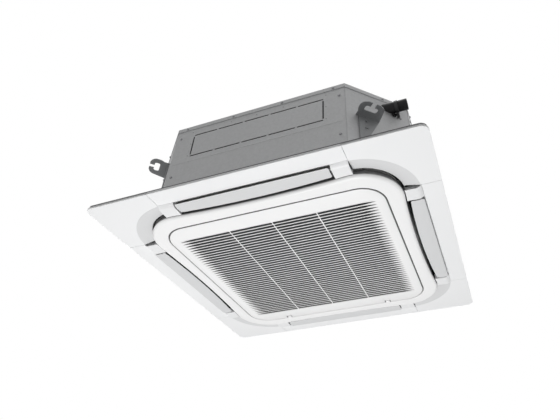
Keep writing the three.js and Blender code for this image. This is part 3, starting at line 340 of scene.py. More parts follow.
def bored_plate(outline, bore_centre, bore_radius, span, place):
    """A plate with a hole: outline points joined to bore points that lie at the same angle."""
    outline = np.asarray(outline, float)
    away = outline - bore_centre
    away /= np.linalg.norm(away, axis=1, keepdims=True)
    bore = bore_centre + bore_radius * away
    rows = [(outline, span[0]), (outline, span[1]), (bore, span[1]), (bore, span[0])]
    return np.stack([np.column_stack(place(s, ring[:, 0], ring[:, 1])) for ring, s in rows])


def resampled(outline, count):
    """Points spaced evenly along a closed outline's length."""
    closed = np.vstack([outline, outline[:1]])
    length = np.concatenate([[0], np.cumsum(np.linalg.norm(np.diff(closed, axis=0), axis=1))])
    at = np.linspace(0, length[-1], count, endpoint=False)
    return np.column_stack([np.interp(at, length, closed[:, k]) for k in (0, 1)])


# ---- Finishes
class Value:
    """A number socket of a finish; arithmetic on it adds Math nodes."""

    def __init__(self, finish, socket):
        self.finish = finish
        self.socket = socket

    def maths(self, operation, *numbers):
        inputs = {i: n for i, n in enumerate(numbers)}
        node = self.finish.node("ShaderNodeMath", {"operation": operation}, inputs)
        return Value(self.finish, node.outputs[0])

    def operator(operation, reflected=False):
        """An arithmetic method that adds a Math node; reflected where the number comes first."""
        def method(self, other):
            return self.maths(operation, *((other, self) if reflected else (self, other)))
        return method

    __add__, __radd__ = operator("ADD"), operator("ADD", True)
    __sub__, __rsub__ = operator("SUBTRACT"), operator("SUBTRACT", True)
    __mul__, __rmul__ = operator("MULTIPLY"), operator("MULTIPLY", True)
    __truediv__ = operator("DIVIDE")

    def clamped(self):
        return self.maths("MINIMUM", self.maths("MAXIMUM", self, 0.0), 1.0)

    def step(self, low, high):
        """0 below low, 1 above high, and a straight line between."""
        return ((self - low) / (high - low)).clamped()


class Nodes:
    """A node tree and the one way in which nodes are added to it."""

    def __init__(self, tree):
        self.tree = tree

    def node(self, kind, settings=None, inputs=None):
        """Adds a node: its settings first, then the values or links of its sockets."""
        node = self.tree.nodes.new(kind)
        for key, value in (settings or {}).items():
            setattr(node, key, value)
        for key, value in (inputs or {}).items():
            self.feed(node.inputs[key], value)
        return node

    def feed(self, socket, value):
        if isinstance(value, Value):
            value = value.socket
        if isinstance(value, bpy.types.NodeSocket):
            self.tree.links.new(value, socket)
        else:
            socket.default_value = value

    def background_ray(self):
        """1 for rays from the camera, in reflections and through clear things, else 0."""
        path = self.node("ShaderNodeLightPath")
        seen = Value(self, path.outputs["Is Camera Ray"])
        for output in ("Is Glossy Ray", "Is Transmission Ray"):
            seen = seen.maths("MAXIMUM", seen, Value(self, path.outputs[output]))
        return seen


class Finish(Nodes):
    """A material with one Principled shader, and the nodes that vary it."""

    def __init__(self, name, colour, roughness, metallic=0.0):
        self.material = bpy.data.materials.new(name)
        self.material.use_nodes = True
        super().__init__(self.material.node_tree)
        self.shader = self.tree.nodes["Principled BSDF"]
        self.set("Base Color", (*colour, 1.0))
        self.set("Roughness", roughness)
        self.set("Metallic", metallic)
        self.place = self.node("ShaderNodeTexCoord").outputs["Object"]

    def set(self, socket, value):
        self.feed(self.shader.inputs[socket], value)

    def noise(self, scale, detail=3.0, place=None, roughness=0.5):
        inputs = {"Vector": place or self.place, "Scale": scale, "Detail": detail,
                  "Roughness": roughness}
        return Value(self, self.node("ShaderNodeTexNoise", None, inputs).outputs["Fac"])

    def cells(self, scale, output="Distance"):
        inputs = {"Vector": self.place, "Scale": scale}
        return Value(self, self.node("ShaderNodeTexVoronoi", None, inputs).outputs[output])

    def stretched(self, scale):
        """The object's own coordinates, scaled per axis."""
        inputs = {"Vector": self.place, "Scale": scale}
        return self.node("ShaderNodeMapping", None, inputs).outputs["Vector"]

    def axis(self, name):
        node = self.node("ShaderNodeSeparateXYZ", None, {0: self.place})
        return Value(self, node.outputs[name])

    def blend(self, factor, first, second):
        inputs = {0: factor, 6: self.colour(first), 7: self.colour(second)}
        settings = {"data_type": "RGBA"}
        return self.node("ShaderNodeMix", settings, inputs).outputs[2]

    def colour(self, value):
        if isinstance(value, bpy.types.NodeSocket):
            return value
        return (*value, 1.0)

    def varied(self, colour, roughness, height, depth):
        """Sets what varies over the surface; depth is in metres for a height of 0 to 1."""
        self.set("Base Color", colour)
        self.set("Roughness", roughness)
        inputs = {"Height": height, "Distance": depth, "Strength": 1.0}
        self.set("Normal", self.node("ShaderNodeBump", None, inputs).outputs["Normal"])
        return self.material


def shade(colour, factor):
    return tuple(c * factor for c in colour)


GRAIN_DEPTH = 0.00004
DRIFT = 0.985


def moulded(name, colour, roughness, dust_and_painted_shade=None):
    """Moulded plastic: fine spark-eroded grain, a slow drift of tone, faint handling marks.

    dust is (low, high, colour) of painted shade: that colour is painted, broken up by the
    handling marks, on what lies between these two heights and above, darkening walls that rise
    into gaps.
    """
    finish = Finish(name, colour, roughness)
    drift = finish.noise(5.0, 3.0)
    marks = finish.noise(46.0, 5.0, roughness=0.65)
    grain = finish.noise(1500.0, 2.0)
    clean = finish.blend(drift.step(0.35, 0.65), shade(colour, DRIFT), colour)
    # Painted shade: a darker colour painted by height, from low to high, on the walls above the
    # lower face.
    if dust_and_painted_shade:
        low, high, dust_and_painted_shade_colour = dust_and_painted_shade
        painted_shade_mask = finish.axis("Z").step(low * MM, high * MM) * (0.85 + 0.3 * marks).clamped()
        clean = finish.blend(painted_shade_mask, clean, dust_and_painted_shade_colour)
    rough = roughness - 0.05 + 0.12 * marks.step(0.3, 0.7)
    return finish.varied(clean, rough, grain + 0.35 * marks, GRAIN_DEPTH)


def recessed_cover():
    """Corner covers: smooth outside; in the round recess a finely eroded grain and a darker grey,
    which is painted shade.

    The recess is where (|x| - 261)^2 + (|y| - 261)^2 is less than 160^2.
    """
    finish = Finish("white cover plastic", COVER_WHITE, 0.42)
    x = finish.axis("X").maths("ABSOLUTE", finish.axis("X")) - RECESS_CENTRE * MM
    y = finish.axis("Y").maths("ABSOLUTE", finish.axis("Y")) - RECESS_CENTRE * MM
    square = x * x + y * y
    inside = 1.0 - square.step((RECESS_R * MM - 0.0015) ** 2, (RECESS_R * MM) ** 2)
    drift = finish.noise(5.0, 3.0)
    grain = finish.noise(1500.0, 2.0)
    outside = finish.blend(drift.step(0.35, 0.65), shade(COVER_WHITE, DRIFT), COVER_WHITE)
    # Painted shade: the recess's ramp painted 20% darker than the cover's white.
    colour = finish.blend(inside, outside, shade(COVER_WHITE, 0.8))
    rough = 0.4 + 0.12 * inside + 0.06 * drift
    return finish.varied(colour, rough, grain * (1.0 + inside), GRAIN_DEPTH)


def zinc_coated(name, colour, roughness, metallic):
    """Galvanised sheet: crystals a few millimetres wide, rolled streaks, dull patches."""
    finish = Finish(name, colour, roughness, metallic)
    spangle = finish.cells(160.0, output="Color")
    cloud = finish.noise(7.0, 4.0)
    streak = finish.noise(90.0, 3.0, place=finish.stretched((1.0, 1.0, 0.06)))
    tone = 0.45 * spangle + 0.35 * cloud + 0.2 * streak
    dark, pale = shade(colour, 0.94), shade(colour, 1.06)
    return finish.varied(finish.blend(tone.step(0.25, 0.75), dark, pale),
                         roughness - 0.06 + 0.16 * tone, 0.6 * spangle + 0.4 * streak, 0.00003)


COVER_WHITE = (0.86, 0.865, 0.87)
white_plastic = moulded("white moulded plastic", COVER_WHITE, 0.42)
# Painted shade: the blocks get the covers' white made 7% darker, for the shade in the slot where
# they sit.
shaded_block_plastic = moulded("white block plastic", shade(COVER_WHITE, 0.93), 0.42)
cover_plastic = recessed_cover()
# Painted shade on the ring's walls: darkening from -18.2 mm to 0.16 grey by -14.8 mm.
ring_plastic = moulded("white ring plastic", (0.87, 0.87, 0.87), 0.4,
                       dust_and_painted_shade=(-18.2, -14.8, (0.16, 0.16, 0.16)))
# Painted shade on the grille's walls, slat sides and ribs: from just above the lower face, near
# black by -24 mm.
grille_plastic = moulded("white grille plastic", (0.87, 0.87, 0.87), 0.4,
                         dust_and_painted_shade=(-24.97, -24.0, (0.1, 0.1, 0.1)))
vane_plastic = moulded("pale grey vane plastic", (0.65, 0.655, 0.66), 0.48)
grey_plastic = moulded("grey moulded plastic", (0.33, 0.34, 0.35), 0.5)
fan_plastic = moulded("fan plastic", (0.1, 0.1, 0.11), 0.5)
galvanised = zinc_coated("galvanised sheet", (0.49, 0.495, 0.5), 0.5, 0.25)
hanger_steel = zinc_coated("hanger steel", (0.24, 0.245, 0.25), 0.45, 0.4)
screw_steel = zinc_coated("screw steel", (0.3, 0.3, 0.31), 0.4, 0.6)
blackened_steel = zinc_coated("blackened steel", (0.016, 0.016, 0.017), 0.5, 0.2)
dark_steel = zinc_coated("dark zinc steel", (0.2, 0.205, 0.21), 0.42, 0.7)


def foam(name, colour, bead, depth):
    """Foam: rounded cells of one size with darker seams between them."""
    finish = Finish(name, colour, 0.92)
    cell = finish.cells(1.0 / bead)
    soft = finish.noise(12.0, 3.0)
    return finish.varied(finish.blend(cell.step(0.1, 0.8), colour, shade(colour, 0.84)),
                         0.86 + 0.1 * soft, 1.0 - cell, depth)


sealing_foam = foam("black sealing foam", (0.045, 0.047, 0.05), 0.0012, 0.0002)
expanded_foam = foam("white bead foam", (0.8, 0.8, 0.78), 0.004, 0.0003)
seal_foam = foam("grey panel seal", (0.17, 0.17, 0.175), 0.0016, 0.0003)
lining_foam = foam("grey lining foam", (0.05, 0.05, 0.052), 0.0016, 0.0003)


def finned_aluminium():
    """Coil face: upright fins, one each 2.5 mm along x + y, with painted shade in the gaps
    between them.
    """
    colour = (0.62, 0.64, 0.66)
    finish = Finish("coil aluminium", colour, 0.35, 0.8)
    x, y = finish.axis("X"), finish.axis("Y")
    turn = (x + y) * (2 * math.pi / 0.0025)
    fin = 0.5 + 0.5 * turn.maths("SINE", turn)
    cloud = finish.noise(20.0, 3.0)
    # Painted shade: the stripes between the fins darkened to 30% of the aluminium.
    return finish.varied(finish.blend(fin, shade(colour, 0.3), colour), 0.3 + 0.2 * cloud,
                         fin, 0.0006)


coil_aluminium = finned_aluminium()


def drawn_copper():
    """Copper tube: oxide clouds that turn from bright to brown."""
    bright, brown = (0.72, 0.34, 0.2), (0.42, 0.2, 0.12)
    finish = Finish("drawn copper", bright, 0.32, 0.9)
    cloud = finish.noise(38.0, 5.0, roughness=0.6)
    return finish.varied(finish.blend(cloud.step(0.45, 0.75), bright, brown),
                         0.25 + 0.3 * cloud, cloud, 0.00005)


copper = drawn_copper()


def hose_rubber():
    """Black rubber: dull, with fine wrinkles and a little dust."""
    colour = (0.012, 0.012, 0.013)
    finish = Finish("black hose rubber", colour, 0.55)
    finish.set("Specular IOR Level", 0.25)
    dust_and_painted_shade = finish.noise(60.0, 5.0, roughness=0.7)
    fine = finish.noise(900.0, 2.0)
    dust_and_painted_shade_colour = finish.blend(dust_and_painted_shade.step(0.55, 0.85), colour, (0.035, 0.035, 0.037))
    return finish.varied(dust_and_painted_shade_colour, 0.48 + 0.2 * dust_and_painted_shade, fine + dust_and_painted_shade, 0.00008)


black_rubber = hose_rubber()


def filter_net():
    """Woven filter: threads 2.2 mm apart both ways."""
    colour = (0.07, 0.075, 0.08)
    finish = Finish("filter net", colour, 0.7)
    turn = 2 * math.pi / 0.0022
    x, y = finish.axis("X") * turn, finish.axis("Y") * turn
    thread_x, thread_y = x.maths("SINE", x), y.maths("SINE", y)
    weave = thread_x.maths("MAXIMUM", thread_x, thread_y) * 0.5 + 0.5
    dust_and_painted_shade = finish.noise(24.0, 4.0)
    dust_and_painted_shade_colour = finish.blend(dust_and_painted_shade.step(0.4, 0.8), colour, (0.12, 0.12, 0.12))
    return finish.varied(dust_and_painted_shade_colour, 0.62 + 0.15 * dust_and_painted_shade, weave, 0.0004)


filter_mesh = filter_net()

SLOT_FINISH = {
    "white_plastic": white_plastic,
    "vane_plastic": vane_plastic,
    "galvanised": galvanised,
    "dark_steel": dark_steel,
    "sealing_foam": sealing_foam,
    "expanded_foam": expanded_foam,
    "coil_aluminium": coil_aluminium,
    "copper": copper,
    "black_rubber": black_rubber,
    "filter_mesh": filter_mesh,
    "grey_plastic": grey_plastic,
}

for subpart in frame["record"]["subparts"]:
    solid = nodes[subpart["node"]]
    solid.data.materials.clear()
    solid.data.materials.append(SLOT_FINISH[subpart["material_slot"]])
for node in ("insulation_liner", "outlet_frame"):
    nodes[node].data.materials[0] = lining_foam


# ---- Panel frame
def side_place(quarter_turns):
    """Puts (along, out, z) of the front side onto the side that many quarter turns on."""
    def place(along, out, z):
        along = np.broadcast_to(along, np.shape(out))
        points = turned(np.column_stack([along, -out, z]), quarter_turns)
        return points.T
    return place


def rim_section():
    """(out, z) loop of a rim bar: rounded lower outer edge, slot wall, 3 mm skin."""
    edge = fillet(RIM_EDGE, RIM_BOTTOM, 5)
    outside = np.column_stack([PANEL_HALF - edge[:, 0], edge[:, 1]])
    lip = fillet(SLOT_EDGE, RIM_BOTTOM, 4)[::-1]
    slot = np.column_stack([SLOT_OUTER + lip[:, 0], lip[:, 1]])
    top = RIM_STEP + 1.0
    wall, skin = PANEL_HALF - RIM_WALL, RIM_BOTTOM + SKIN
    back = [(PANEL_HALF, top), (wall, top), (wall, skin),
            (SLOT_OUTER + SKIN, skin), (SLOT_OUTER + SKIN, 0), (SLOT_OUTER, 0)]
    return np.vstack([outside, back, slot])


def panel_frame():
    """Four rim bars between the seams, on a plate set back from their outer edge."""
    piece = Piece("panel_frame_look")
    end = SEAM_END
    stations = np.concatenate([[-end, -end + 0.5], np.linspace(-end + 20, end - 20, 7),
                               [end - 0.5, end]])
    for k in range(4):
        piece.grid(swept(rim_section(), stations, side_place(k)), caps=True)
    corner_r = PANEL_CORNER_R - PANEL_STEP_IN
    outer = rounded_square(SET_BACK, corner_r)
    inner = rounded_square(SLOT_OUTER + 2, RECESS_R + 2)
    loop = [(outer, RIM_STEP), (outer, RIM_STEP + SKIN), (inner, RIM_STEP + SKIN),
            (inner, RIM_STEP)]
    piece.grid(layers(loop), rows_close=True)
    strip = rounded_square(SET_BACK - SKIN, corner_r - SKIN)
    loop = [(outer, RIM_STEP), (outer, 0), (strip, 0), (strip, RIM_STEP)]
    piece.grid(layers(loop), rows_close=True)
    piece.make("casing", white_plastic, ["panel_frame"], "white_plastic", smooth=30)


panel_frame()


# ---- Corner covers
def cover_arc(radius, u):
    """Arc about the recess centre from seam to seam: angle from limit to 90 - limit."""
    limit = math.asin((COVER_START - RECESS_CENTRE) / radius)
    angle = limit + (math.pi / 2 - 2 * limit) * u
    return np.column_stack([RECESS_CENTRE + radius * np.cos(angle),
                            RECESS_CENTRE + radius * np.sin(angle)])


def cover_edge(set_in, u):
    """Outer edge between the seams: straight, a quarter round of the panel corner, straight."""
    first, last = COVER_TURN
    half = PANEL_HALF - set_in
    radius = max(PANEL_CORNER_R - set_in, 1.0)
    centre = half - radius
    straight = centre - COVER_START
    angle = np.clip((u - first) / (last - first), 0, 1) * (math.pi / 2)
    rise = np.clip(u / first, 0, 1)
    fall = np.clip((u - last) / (1 - last), 0, 1)
    x = centre + radius * np.cos(angle) - fall * straight
    y = COVER_START + rise * straight + radius * np.sin(angle)
    return np.column_stack([x, y])


def recess_rows(steps, u, lift=0.0):
    """Arcs of the sunk ramp: radius 160 - 43.5 t, rise 9.4 t^1.1 above the rim's face."""
    return [(cover_arc(RECESS_R - RECESS_WIDTH * t, u),
             RIM_BOTTOM + lift + RECESS_RISE * t ** 1.1) for t in steps]


def corner_cover(corner):
    """Rows from the ramp's inner end out over the face, round the edge and back inside."""
    name = f"corner_cover_{corner}"
    first, last = COVER_TURN
    u = np.concatenate([np.linspace(0, first, 15), np.linspace(first, last, 17)[1:-1],
                        np.linspace(last, 1, 15)])
    rows = recess_rows(np.linspace(1, 0, 12), u)
    for part in (0.3, 0.65):
        face = cover_arc(RECESS_R, u) * (1 - part) + cover_edge(RIM_EDGE, u) * part
        rows.append((face, RIM_BOTTOM))
    top, skin = RIM_STEP - 0.3, RIM_BOTTOM + SKIN
    edge = [*fillet(RIM_EDGE, RIM_BOTTOM, 5), (0, top), (SKIN, top), (SKIN, skin)]
    rows += [(cover_edge(d, u), z) for d, z in edge]
    rows.append((cover_arc(RECESS_R + SKIN, u), skin))
    rows += recess_rows(np.linspace(0.15, 1, 8), u, lift=2)
    loop = (layers(rows) * (*CORNERS[corner], 1)).transpose(1, 0, 2)
    piece = Piece(f"{name}_look").grid(loop, caps=True)
    piece.make(name, cover_plastic, [name], "white_plastic", smooth=9)


for corner in CORNERS:
    corner_cover(corner)


# ---- Inner ring
def inner_ring():
    """Outer wall bowed in at its middles, flat face, rounded mouth; lip and hollow above."""
    outer = rounded_square(RING_HALF, RING_R, drawn_in=RING_DRAWN_IN)
    hole = rounded_square(HOLE_HALF, HOLE_R)
    lip = rounded_square(*RING_LIP)
    drawn = inset(outer, RING_STEP)
    inside, outside = inset(hole, -RING_WALL), inset(drawn, RING_WALL)
    rows = [(drawn, 0), (drawn, RING_SHOULDER), (outer, RING_SHOULDER - 0.4)]
    rows += [(inset(outer, d), z) for d, z in fillet(RING_EDGE, RING_BOTTOM, 9)[::-1]]
    rows += [(inset(hole, -d), z) for d, z in fillet(HOLE_EDGE, RING_BOTTOM, 5)]
    rows += [(hole, 0), (lip, 0), (lip, -SKIN), (inside, -SKIN), (inside, RING_ROOF),
             (inset(drawn, 3 * RING_WALL), RING_ROOF), (outside, RING_SHOULDER - 2),
             (outside, 0)]
    piece = Piece("inner_ring_look").grid(layers(rows), rows_close=True)
    hinge_eyes(piece)
    piece.make("casing", ring_plastic, ["inner_ring"], "white_plastic", smooth=30)


def hinge_eyes(piece):
    """Two eyes for the grille's pins: a half round that widens into a web on the ring."""
    angle = np.linspace(-math.pi / 2, -math.pi * 1.5, 13)
    eye = np.column_stack([HINGE_Y + EYE_R * np.cos(angle), HINGE_Z + EYE_R * np.sin(angle)])
    wall = HOLE_HALF + 1
    web = [(HINGE_Y + 3, -14), (wall, -14), (wall, -24.6), (HINGE_Y + 4, -24.7)]
    outline = resampled(np.vstack([eye, web]), 40)
    for x in (-HINGE_X, HINGE_X):
        span = (x - EYE_HALF, x + EYE_HALF)
        loop = bored_plate(outline, np.array((HINGE_Y, HINGE_Z)), EYE_BORE_R, span, across_x)
        piece.grid(loop, rows_close=True)


inner_ring()


# ---- Outlet blocks
def block_bottom(out):
    """Flat at -18 out to 407, then -18 + 8 (1 - cos a)^1.15 up to the slot's edge."""
    part = np.clip((out - BLOCK_FLAT_TO) / (BLOCK_OUTER - BLOCK_FLAT_TO), 0, 1)
    rise = RIM_BOTTOM - BLOCK_BOTTOM
    return BLOCK_BOTTOM + rise * (1 - np.cos(part * math.pi / 2)) ** 1.15


def ring_edge_at(along):
    """How far out the ring's side stands at a place along it, with its end rounded."""
    centre = RING_HALF - RING_R
    along = np.abs(along)
    bowed = RING_HALF - RING_DRAWN_IN * (1 - (np.minimum(along, centre) / centre) ** 2)
    over = np.maximum(along - centre, 0)
    return np.where(over > 0, centre + np.sqrt(RING_R ** 2 - over ** 2), bowed)


def block_section(along, thick, deep=0.0):
    """(out, z) loop of a block: a shell, or where not thick a full plate set in by `deep`."""
    inner = float(ring_edge_at(along)) + BLOCK_GAP + deep
    outer = BLOCK_OUTER - deep
    out = np.concatenate([np.linspace(inner, 405, 6), np.linspace(BLOCK_FLAT_TO, outer, 14)])
    under = np.column_stack([out, block_bottom(out) + deep])
    if not thick:
        return np.vstack([under, [(outer, 0), (inner, 0)]])
    inside = inner + BLOCK_SKIN, outer - BLOCK_SKIN
    back = np.column_stack([out[::-1], block_bottom(out[::-1]) + BLOCK_SKIN])
    back[0] = (inside[1], -7)
    back[-1] = (inside[0], BLOCK_BOTTOM + BLOCK_SKIN)
    return np.vstack([under, [(outer, 0), (inside[1], 0)], back, [(inside[0], 0), (inner, 0)]])


def outlet_block(side, quarter_turns, sign, tag):
    """A shell from the vane's end to the seam, with a bored plate near each of its ends."""
    name = f"vane_block_{side}_{tag}"
    piece = Piece(f"{name}_look")
    place = side_place(quarter_turns)
    near = (BLOCK_START, BLOCK_START + BLOCK_SKIN)
    far = (SEAM_END - 11, SEAM_END - 8.5)
    stations = [near[1], *(BLOCK_START + x for x in (12, 24, 36)), SEAM_END]
    rows = [np.column_stack(place(sign * x, *block_section(x, True).T)) for x in stations]
    piece.grid(np.stack(rows))
    for span, deep, bore in ((near, 0.0, 3.4), (far, 1.2, 2.0)):
        outline = resampled(block_section(sum(span) / 2, False, deep), 64)
        loop = bored_plate(outline, np.array(VANE_AXIS), bore, span,
                           lambda s, out, z: place(sign * s, out, z))
        piece.grid(loop, rows_close=True)
    piece.make("casing", shaded_block_plastic, [name], "white_plastic", smooth=40)


# ---- Vanes
def vane_rows(stations, samples=17):
    """Lens section: half thickness 0.1 + 1.9 sin(pi p)^0.5 about a level line, p across it.

    The inner edge lies at 374 + 9 (x / 219)^2, and both edges turn in by a quarter round at
    the vane's ends.
    """
    rows = []
    p = 0.5 - 0.5 * np.cos(np.linspace(0, math.pi, samples))
    for x in stations:
        over = max(0.0, abs(x) - (VANE_HALF - VANE_ROUND))
        cut = VANE_ROUND - math.sqrt(max(VANE_ROUND ** 2 - over ** 2, 0))
        outer = VANE_OUTER - cut
        inner = VANE_INNER + VANE_SWEEP * (x / VANE_HALF) ** 2 + cut
        out = outer + (inner - outer) * p
        half = 0.1 + 1.9 * np.sin(math.pi * p) ** 0.5
        under = np.column_stack([np.full(samples, x), out, VANE_LEVEL - half])
        above = np.column_stack([np.full(samples, x), out, VANE_LEVEL + half])[::-1]
        rows.append(np.vstack([under, above[1:-1]]))
    return np.stack(rows)


def vane(side, quarter_turns):
    """The blade, an ear at each end of it, and the pins on which it turns."""
    name = f"vane_{side}"
    end = VANE_HALF
    place = side_place(quarter_turns)
    round_end = VANE_ROUND * (1 - np.cos(np.linspace(0, math.pi / 2, 6)))
    middle = np.linspace(VANE_ROUND - end, end - VANE_ROUND, 41)[1:-1]
    flat = vane_rows(np.concatenate([round_end - end, middle, end - round_end[::-1]]))
    points = np.stack(place(*flat.reshape(-1, 3).T), -1)
    piece = Piece(f"{name}_look").grid(points.reshape(flat.shape), caps=True)
    out, z = VANE_AXIS
    ear = [(out - 9, VANE_LEVEL), (out + 9, VANE_LEVEL), (out + 3.6, z + 2.5), (out + 2, z + 3.8),
           (out - 2, z + 3.8), (out - 3.6, z + 2.5)]
    for sign in (-1, 1):
        piece.grid(swept(ear, (sign * (end - 6), sign * (end - 1.5)), place), caps=True)
        ends = [np.array(place(sign * x, np.array([out]), np.array([z]))).ravel()
                for x in (end - 2, 226.5)]
        piece.grid(rod(ends[0], ends[1], 2.8, 20, 0.4), caps=True)
    piece.make(name, vane_plastic, [name], "vane_plastic", smooth=40)


for k, side in enumerate(SIDES):
    outlet_block(side, k, 1, "b")
    outlet_block(side, k, -1, "a")
    vane(side, k)


# ---- Intake grille
def notched_outline():
    """The grille's outline, with two notches 16 wide cut into its far side."""
    outline = rounded_square(GRILLE_HALF, GRILLE_R)
    far = np.isclose(outline[:, 1], GRILLE_HALF) & (np.abs(outline[:, 0]) < 256)
    start = int(np.argmax(far))
    before, after = outline[:start], outline[start:][~far[start:]]
    xs = []
    for x in (HINGE_X, -HINGE_X):
        left, right = x - NOTCH_HALF, x + NOTCH_HALF
        xs += [(right, GRILLE_HALF), (right, NOTCH_END), (left, NOTCH_END), (left, GRILLE_HALF)]
    middle = [(x, GRILLE_HALF) for x in (120.0, 60.0, 0.0, -60.0, -120.0)]
    path = [(230.0, GRILLE_HALF), *xs[:4], *middle, *xs[4:], (-230.0, GRILLE_HALF)]
    return np.vstack([before, path, after])


def gap_half(x):
    """Half the gap between two slats: 3.7 mm, closing to a point over the last 38 mm."""
    return SLAT_GAP / 2 * np.clip((SLAT_HALF - np.abs(x)) / SLAT_TAPER, 0, 1)


def grille_slats():
    """Each slat: lower face crowned by its gap's width, sides leaning in towards the top."""
    x = np.concatenate([[-303, -300.5, -299], np.linspace(-297, -262, 8),
                        np.linspace(-250, 250, 9), np.linspace(262, 297, 8),
                        [299, 300.5, 303]])
    gap = gap_half(x)[None, :, None]
    row = np.arange(SLAT_ROWS + 1)[:, None, None]
    low = np.maximum((row - (SLAT_ROWS + 1) / 2) * SLAT_PITCH, -FIELD_Y) + (row > 0) * gap
    high = np.minimum((row - (SLAT_ROWS - 1) / 2) * SLAT_PITCH, FIELD_Y)
    high = high - (row < SLAT_ROWS) * gap
    p = np.array([0, 0.06, 0.2, 0.36, 0.5, 0.64, 0.8, 0.94, 1, 0.94, 0.06])
    lift = np.array([2.4, 1.4, 0.5, 0.1, 0, 0.1, 0.5, 1.4, 2.4, SLAT_DEPTH, SLAT_DEPTH])
    y = low + (high - low) * p
    ease = gap / (SLAT_GAP / 2)
    z = RING_BOTTOM + np.where(lift < SLAT_DEPTH, lift * ease, SLAT_DEPTH)
    z = np.broadcast_to(z, y.shape)
    return np.stack([np.broadcast_to(x[None, :, None], y.shape), y, z], -1)


def intake_grille():
    """Frame with a lip above, the slats and three ribs in it, and knuckles beside the eyes."""
    piece = Piece("intake_grille_look")
    outline = notched_outline()
    field = np.column_stack([np.clip(outline[:, 0], -FIELD_X, FIELD_X),
                             np.clip(outline[:, 1], -FIELD_Y, FIELD_Y)])
    wall = inset(outline, GRILLE_WALL)
    rows = [(field, RING_BOTTOM + 4), (field, RING_BOTTOM)]
    rows += [(inset(outline, d), RING_BOTTOM + h) for d, h in GRILLE_EDGE]
    rows += [(outline, GRILLE_TOP), (wall, GRILLE_TOP), (wall, RING_BOTTOM + 4)]
    piece.grid(layers(rows), rows_close=True)
    for slat in grille_slats():
        piece.grid(slat, caps=True)
    rib = [(-1.5, -24.7), (-1.2, -24.98), (1.2, -24.98), (1.5, -24.7), (1.5, -17), (-1.5, -17)]
    for x in (-RIB_AT, 0.0, RIB_AT):
        piece.grid(swept(rib, (-FIELD_Y - 1, FIELD_Y + 1),
                         lambda s, u, v: (x + u, np.full(len(u), s), v)), caps=True)
    for x in (-HINGE_X, HINGE_X):
        knuckle = [(314.5, -22), (324.5, -22), (324.5, -18.5), (323.8, -17.8),
                   (315.2, -17.8), (314.5, -18.5)]
        for start in (x - 2 * NOTCH_HALF, x + NOTCH_HALF):
            piece.grid(swept(knuckle, (start, start + NOTCH_HALF), across_x), caps=True)
    piece.make("grille", grille_plastic, ["intake_grille"], "white_plastic", smooth=30)


intake_grille()


# ---- Drain hose
def drain_hose():
    """Hose stub with a rounded end and an open bore, cut on the slant where it leaves the
    corner, x = 690.1 - |y|, and the eye of its tie.
    """
    t = 2 * math.pi * np.arange(48) / 48
    section = [(356, 12.3), (427, 12.3), (427.6, 12.6), (428, 13.4), (428, 15.6), (427.4, 16.3),
               (426.4, 16.5), (403.2, 16.5), (402.6, 16.1), (389.4, 16.1), (388.8, 16.5),
               (356, 16.5)]
    rows = [np.column_stack([np.full(48, x), DRAIN_Y + r * np.cos(t), DRAIN_Z + r * np.sin(t)])
            for x, r in section]
    loop = np.stack(rows)
    for end in (0, -1):
        loop[end, :, 0] = HOSE_START_SUM - np.abs(loop[end, :, 1])
    piece = Piece("drain_hose_look").grid(loop, rows_close=True)
    piece.make("casing", black_rubber, ["drain_hose"], "black_rubber", smooth=40)
    loop = [(3.2, -1.8), (3.6, -2.2), (7.0, -2.2), (7.6, -1.6), (7.6, 1.6), (7.0, 2.2),
            (3.6, 2.2), (3.2, 1.8)]
    eye = Piece("drain_hose_tie_look")
    eye.grid(head_on((385.5, -311.5, 229), (1, -1, 0), loop, 28), rows_close=True)
    eye.make("casing", black_rubber, slot="black_rubber", smooth=40)


drain_hose()


# ---- Casing
EASED = [  # material, rounding of the edges, smoothing angle, nodes
    (galvanised, 0.35, 10, ["right_panel", "back_panel", "left_panel", "top_plate",
                            *[f"corner_panel_{c}" for c in CORNERS],
                            "motor_bracket", "control_box", "control_box_cover"]),
    (grey_plastic, 0.4, 35, [*[f"vane_motor_{side}" for side in SIDES],
                             "terminal_block", "drain_pump"]),
    (dark_steel, 0.3, 35, ["fan_nut"]),
    (blackened_steel, 0.3, 35, ["hose_clamp"]),
]
BODY_OF = {node: body for body, members in frame["record"]["behaviour"]["bodies"].items()
           for node in members}


def corner_place(corner):
    """Puts (out, along, z) of a slanted corner in place: out along its normal."""
    sign_x, sign_y = CORNERS[corner]

    def place(out, along, z):
        x = CORNER_MIDDLE + (out + along) / math.sqrt(2)
        y = CORNER_MIDDLE + (out - along) / math.sqrt(2)
        return sign_x * x, sign_y * y, z
    return place


def widened_slits(points):
    """The knock-out's slits, 2.5 mm wide in the solid, opened to 4.2 mm."""
    points = points.copy()
    for axis, middles in ((0, (-207.5, 207.5)), (2, (160.0, 246.0))):
        for middle in middles:
            away = points[:, axis] - middle
            edge = np.isclose(np.abs(away), 1.25, atol=0.05)
            points[:, axis] = np.where(edge, middle + np.sign(away) * 2.1, points[:, axis])
    return points


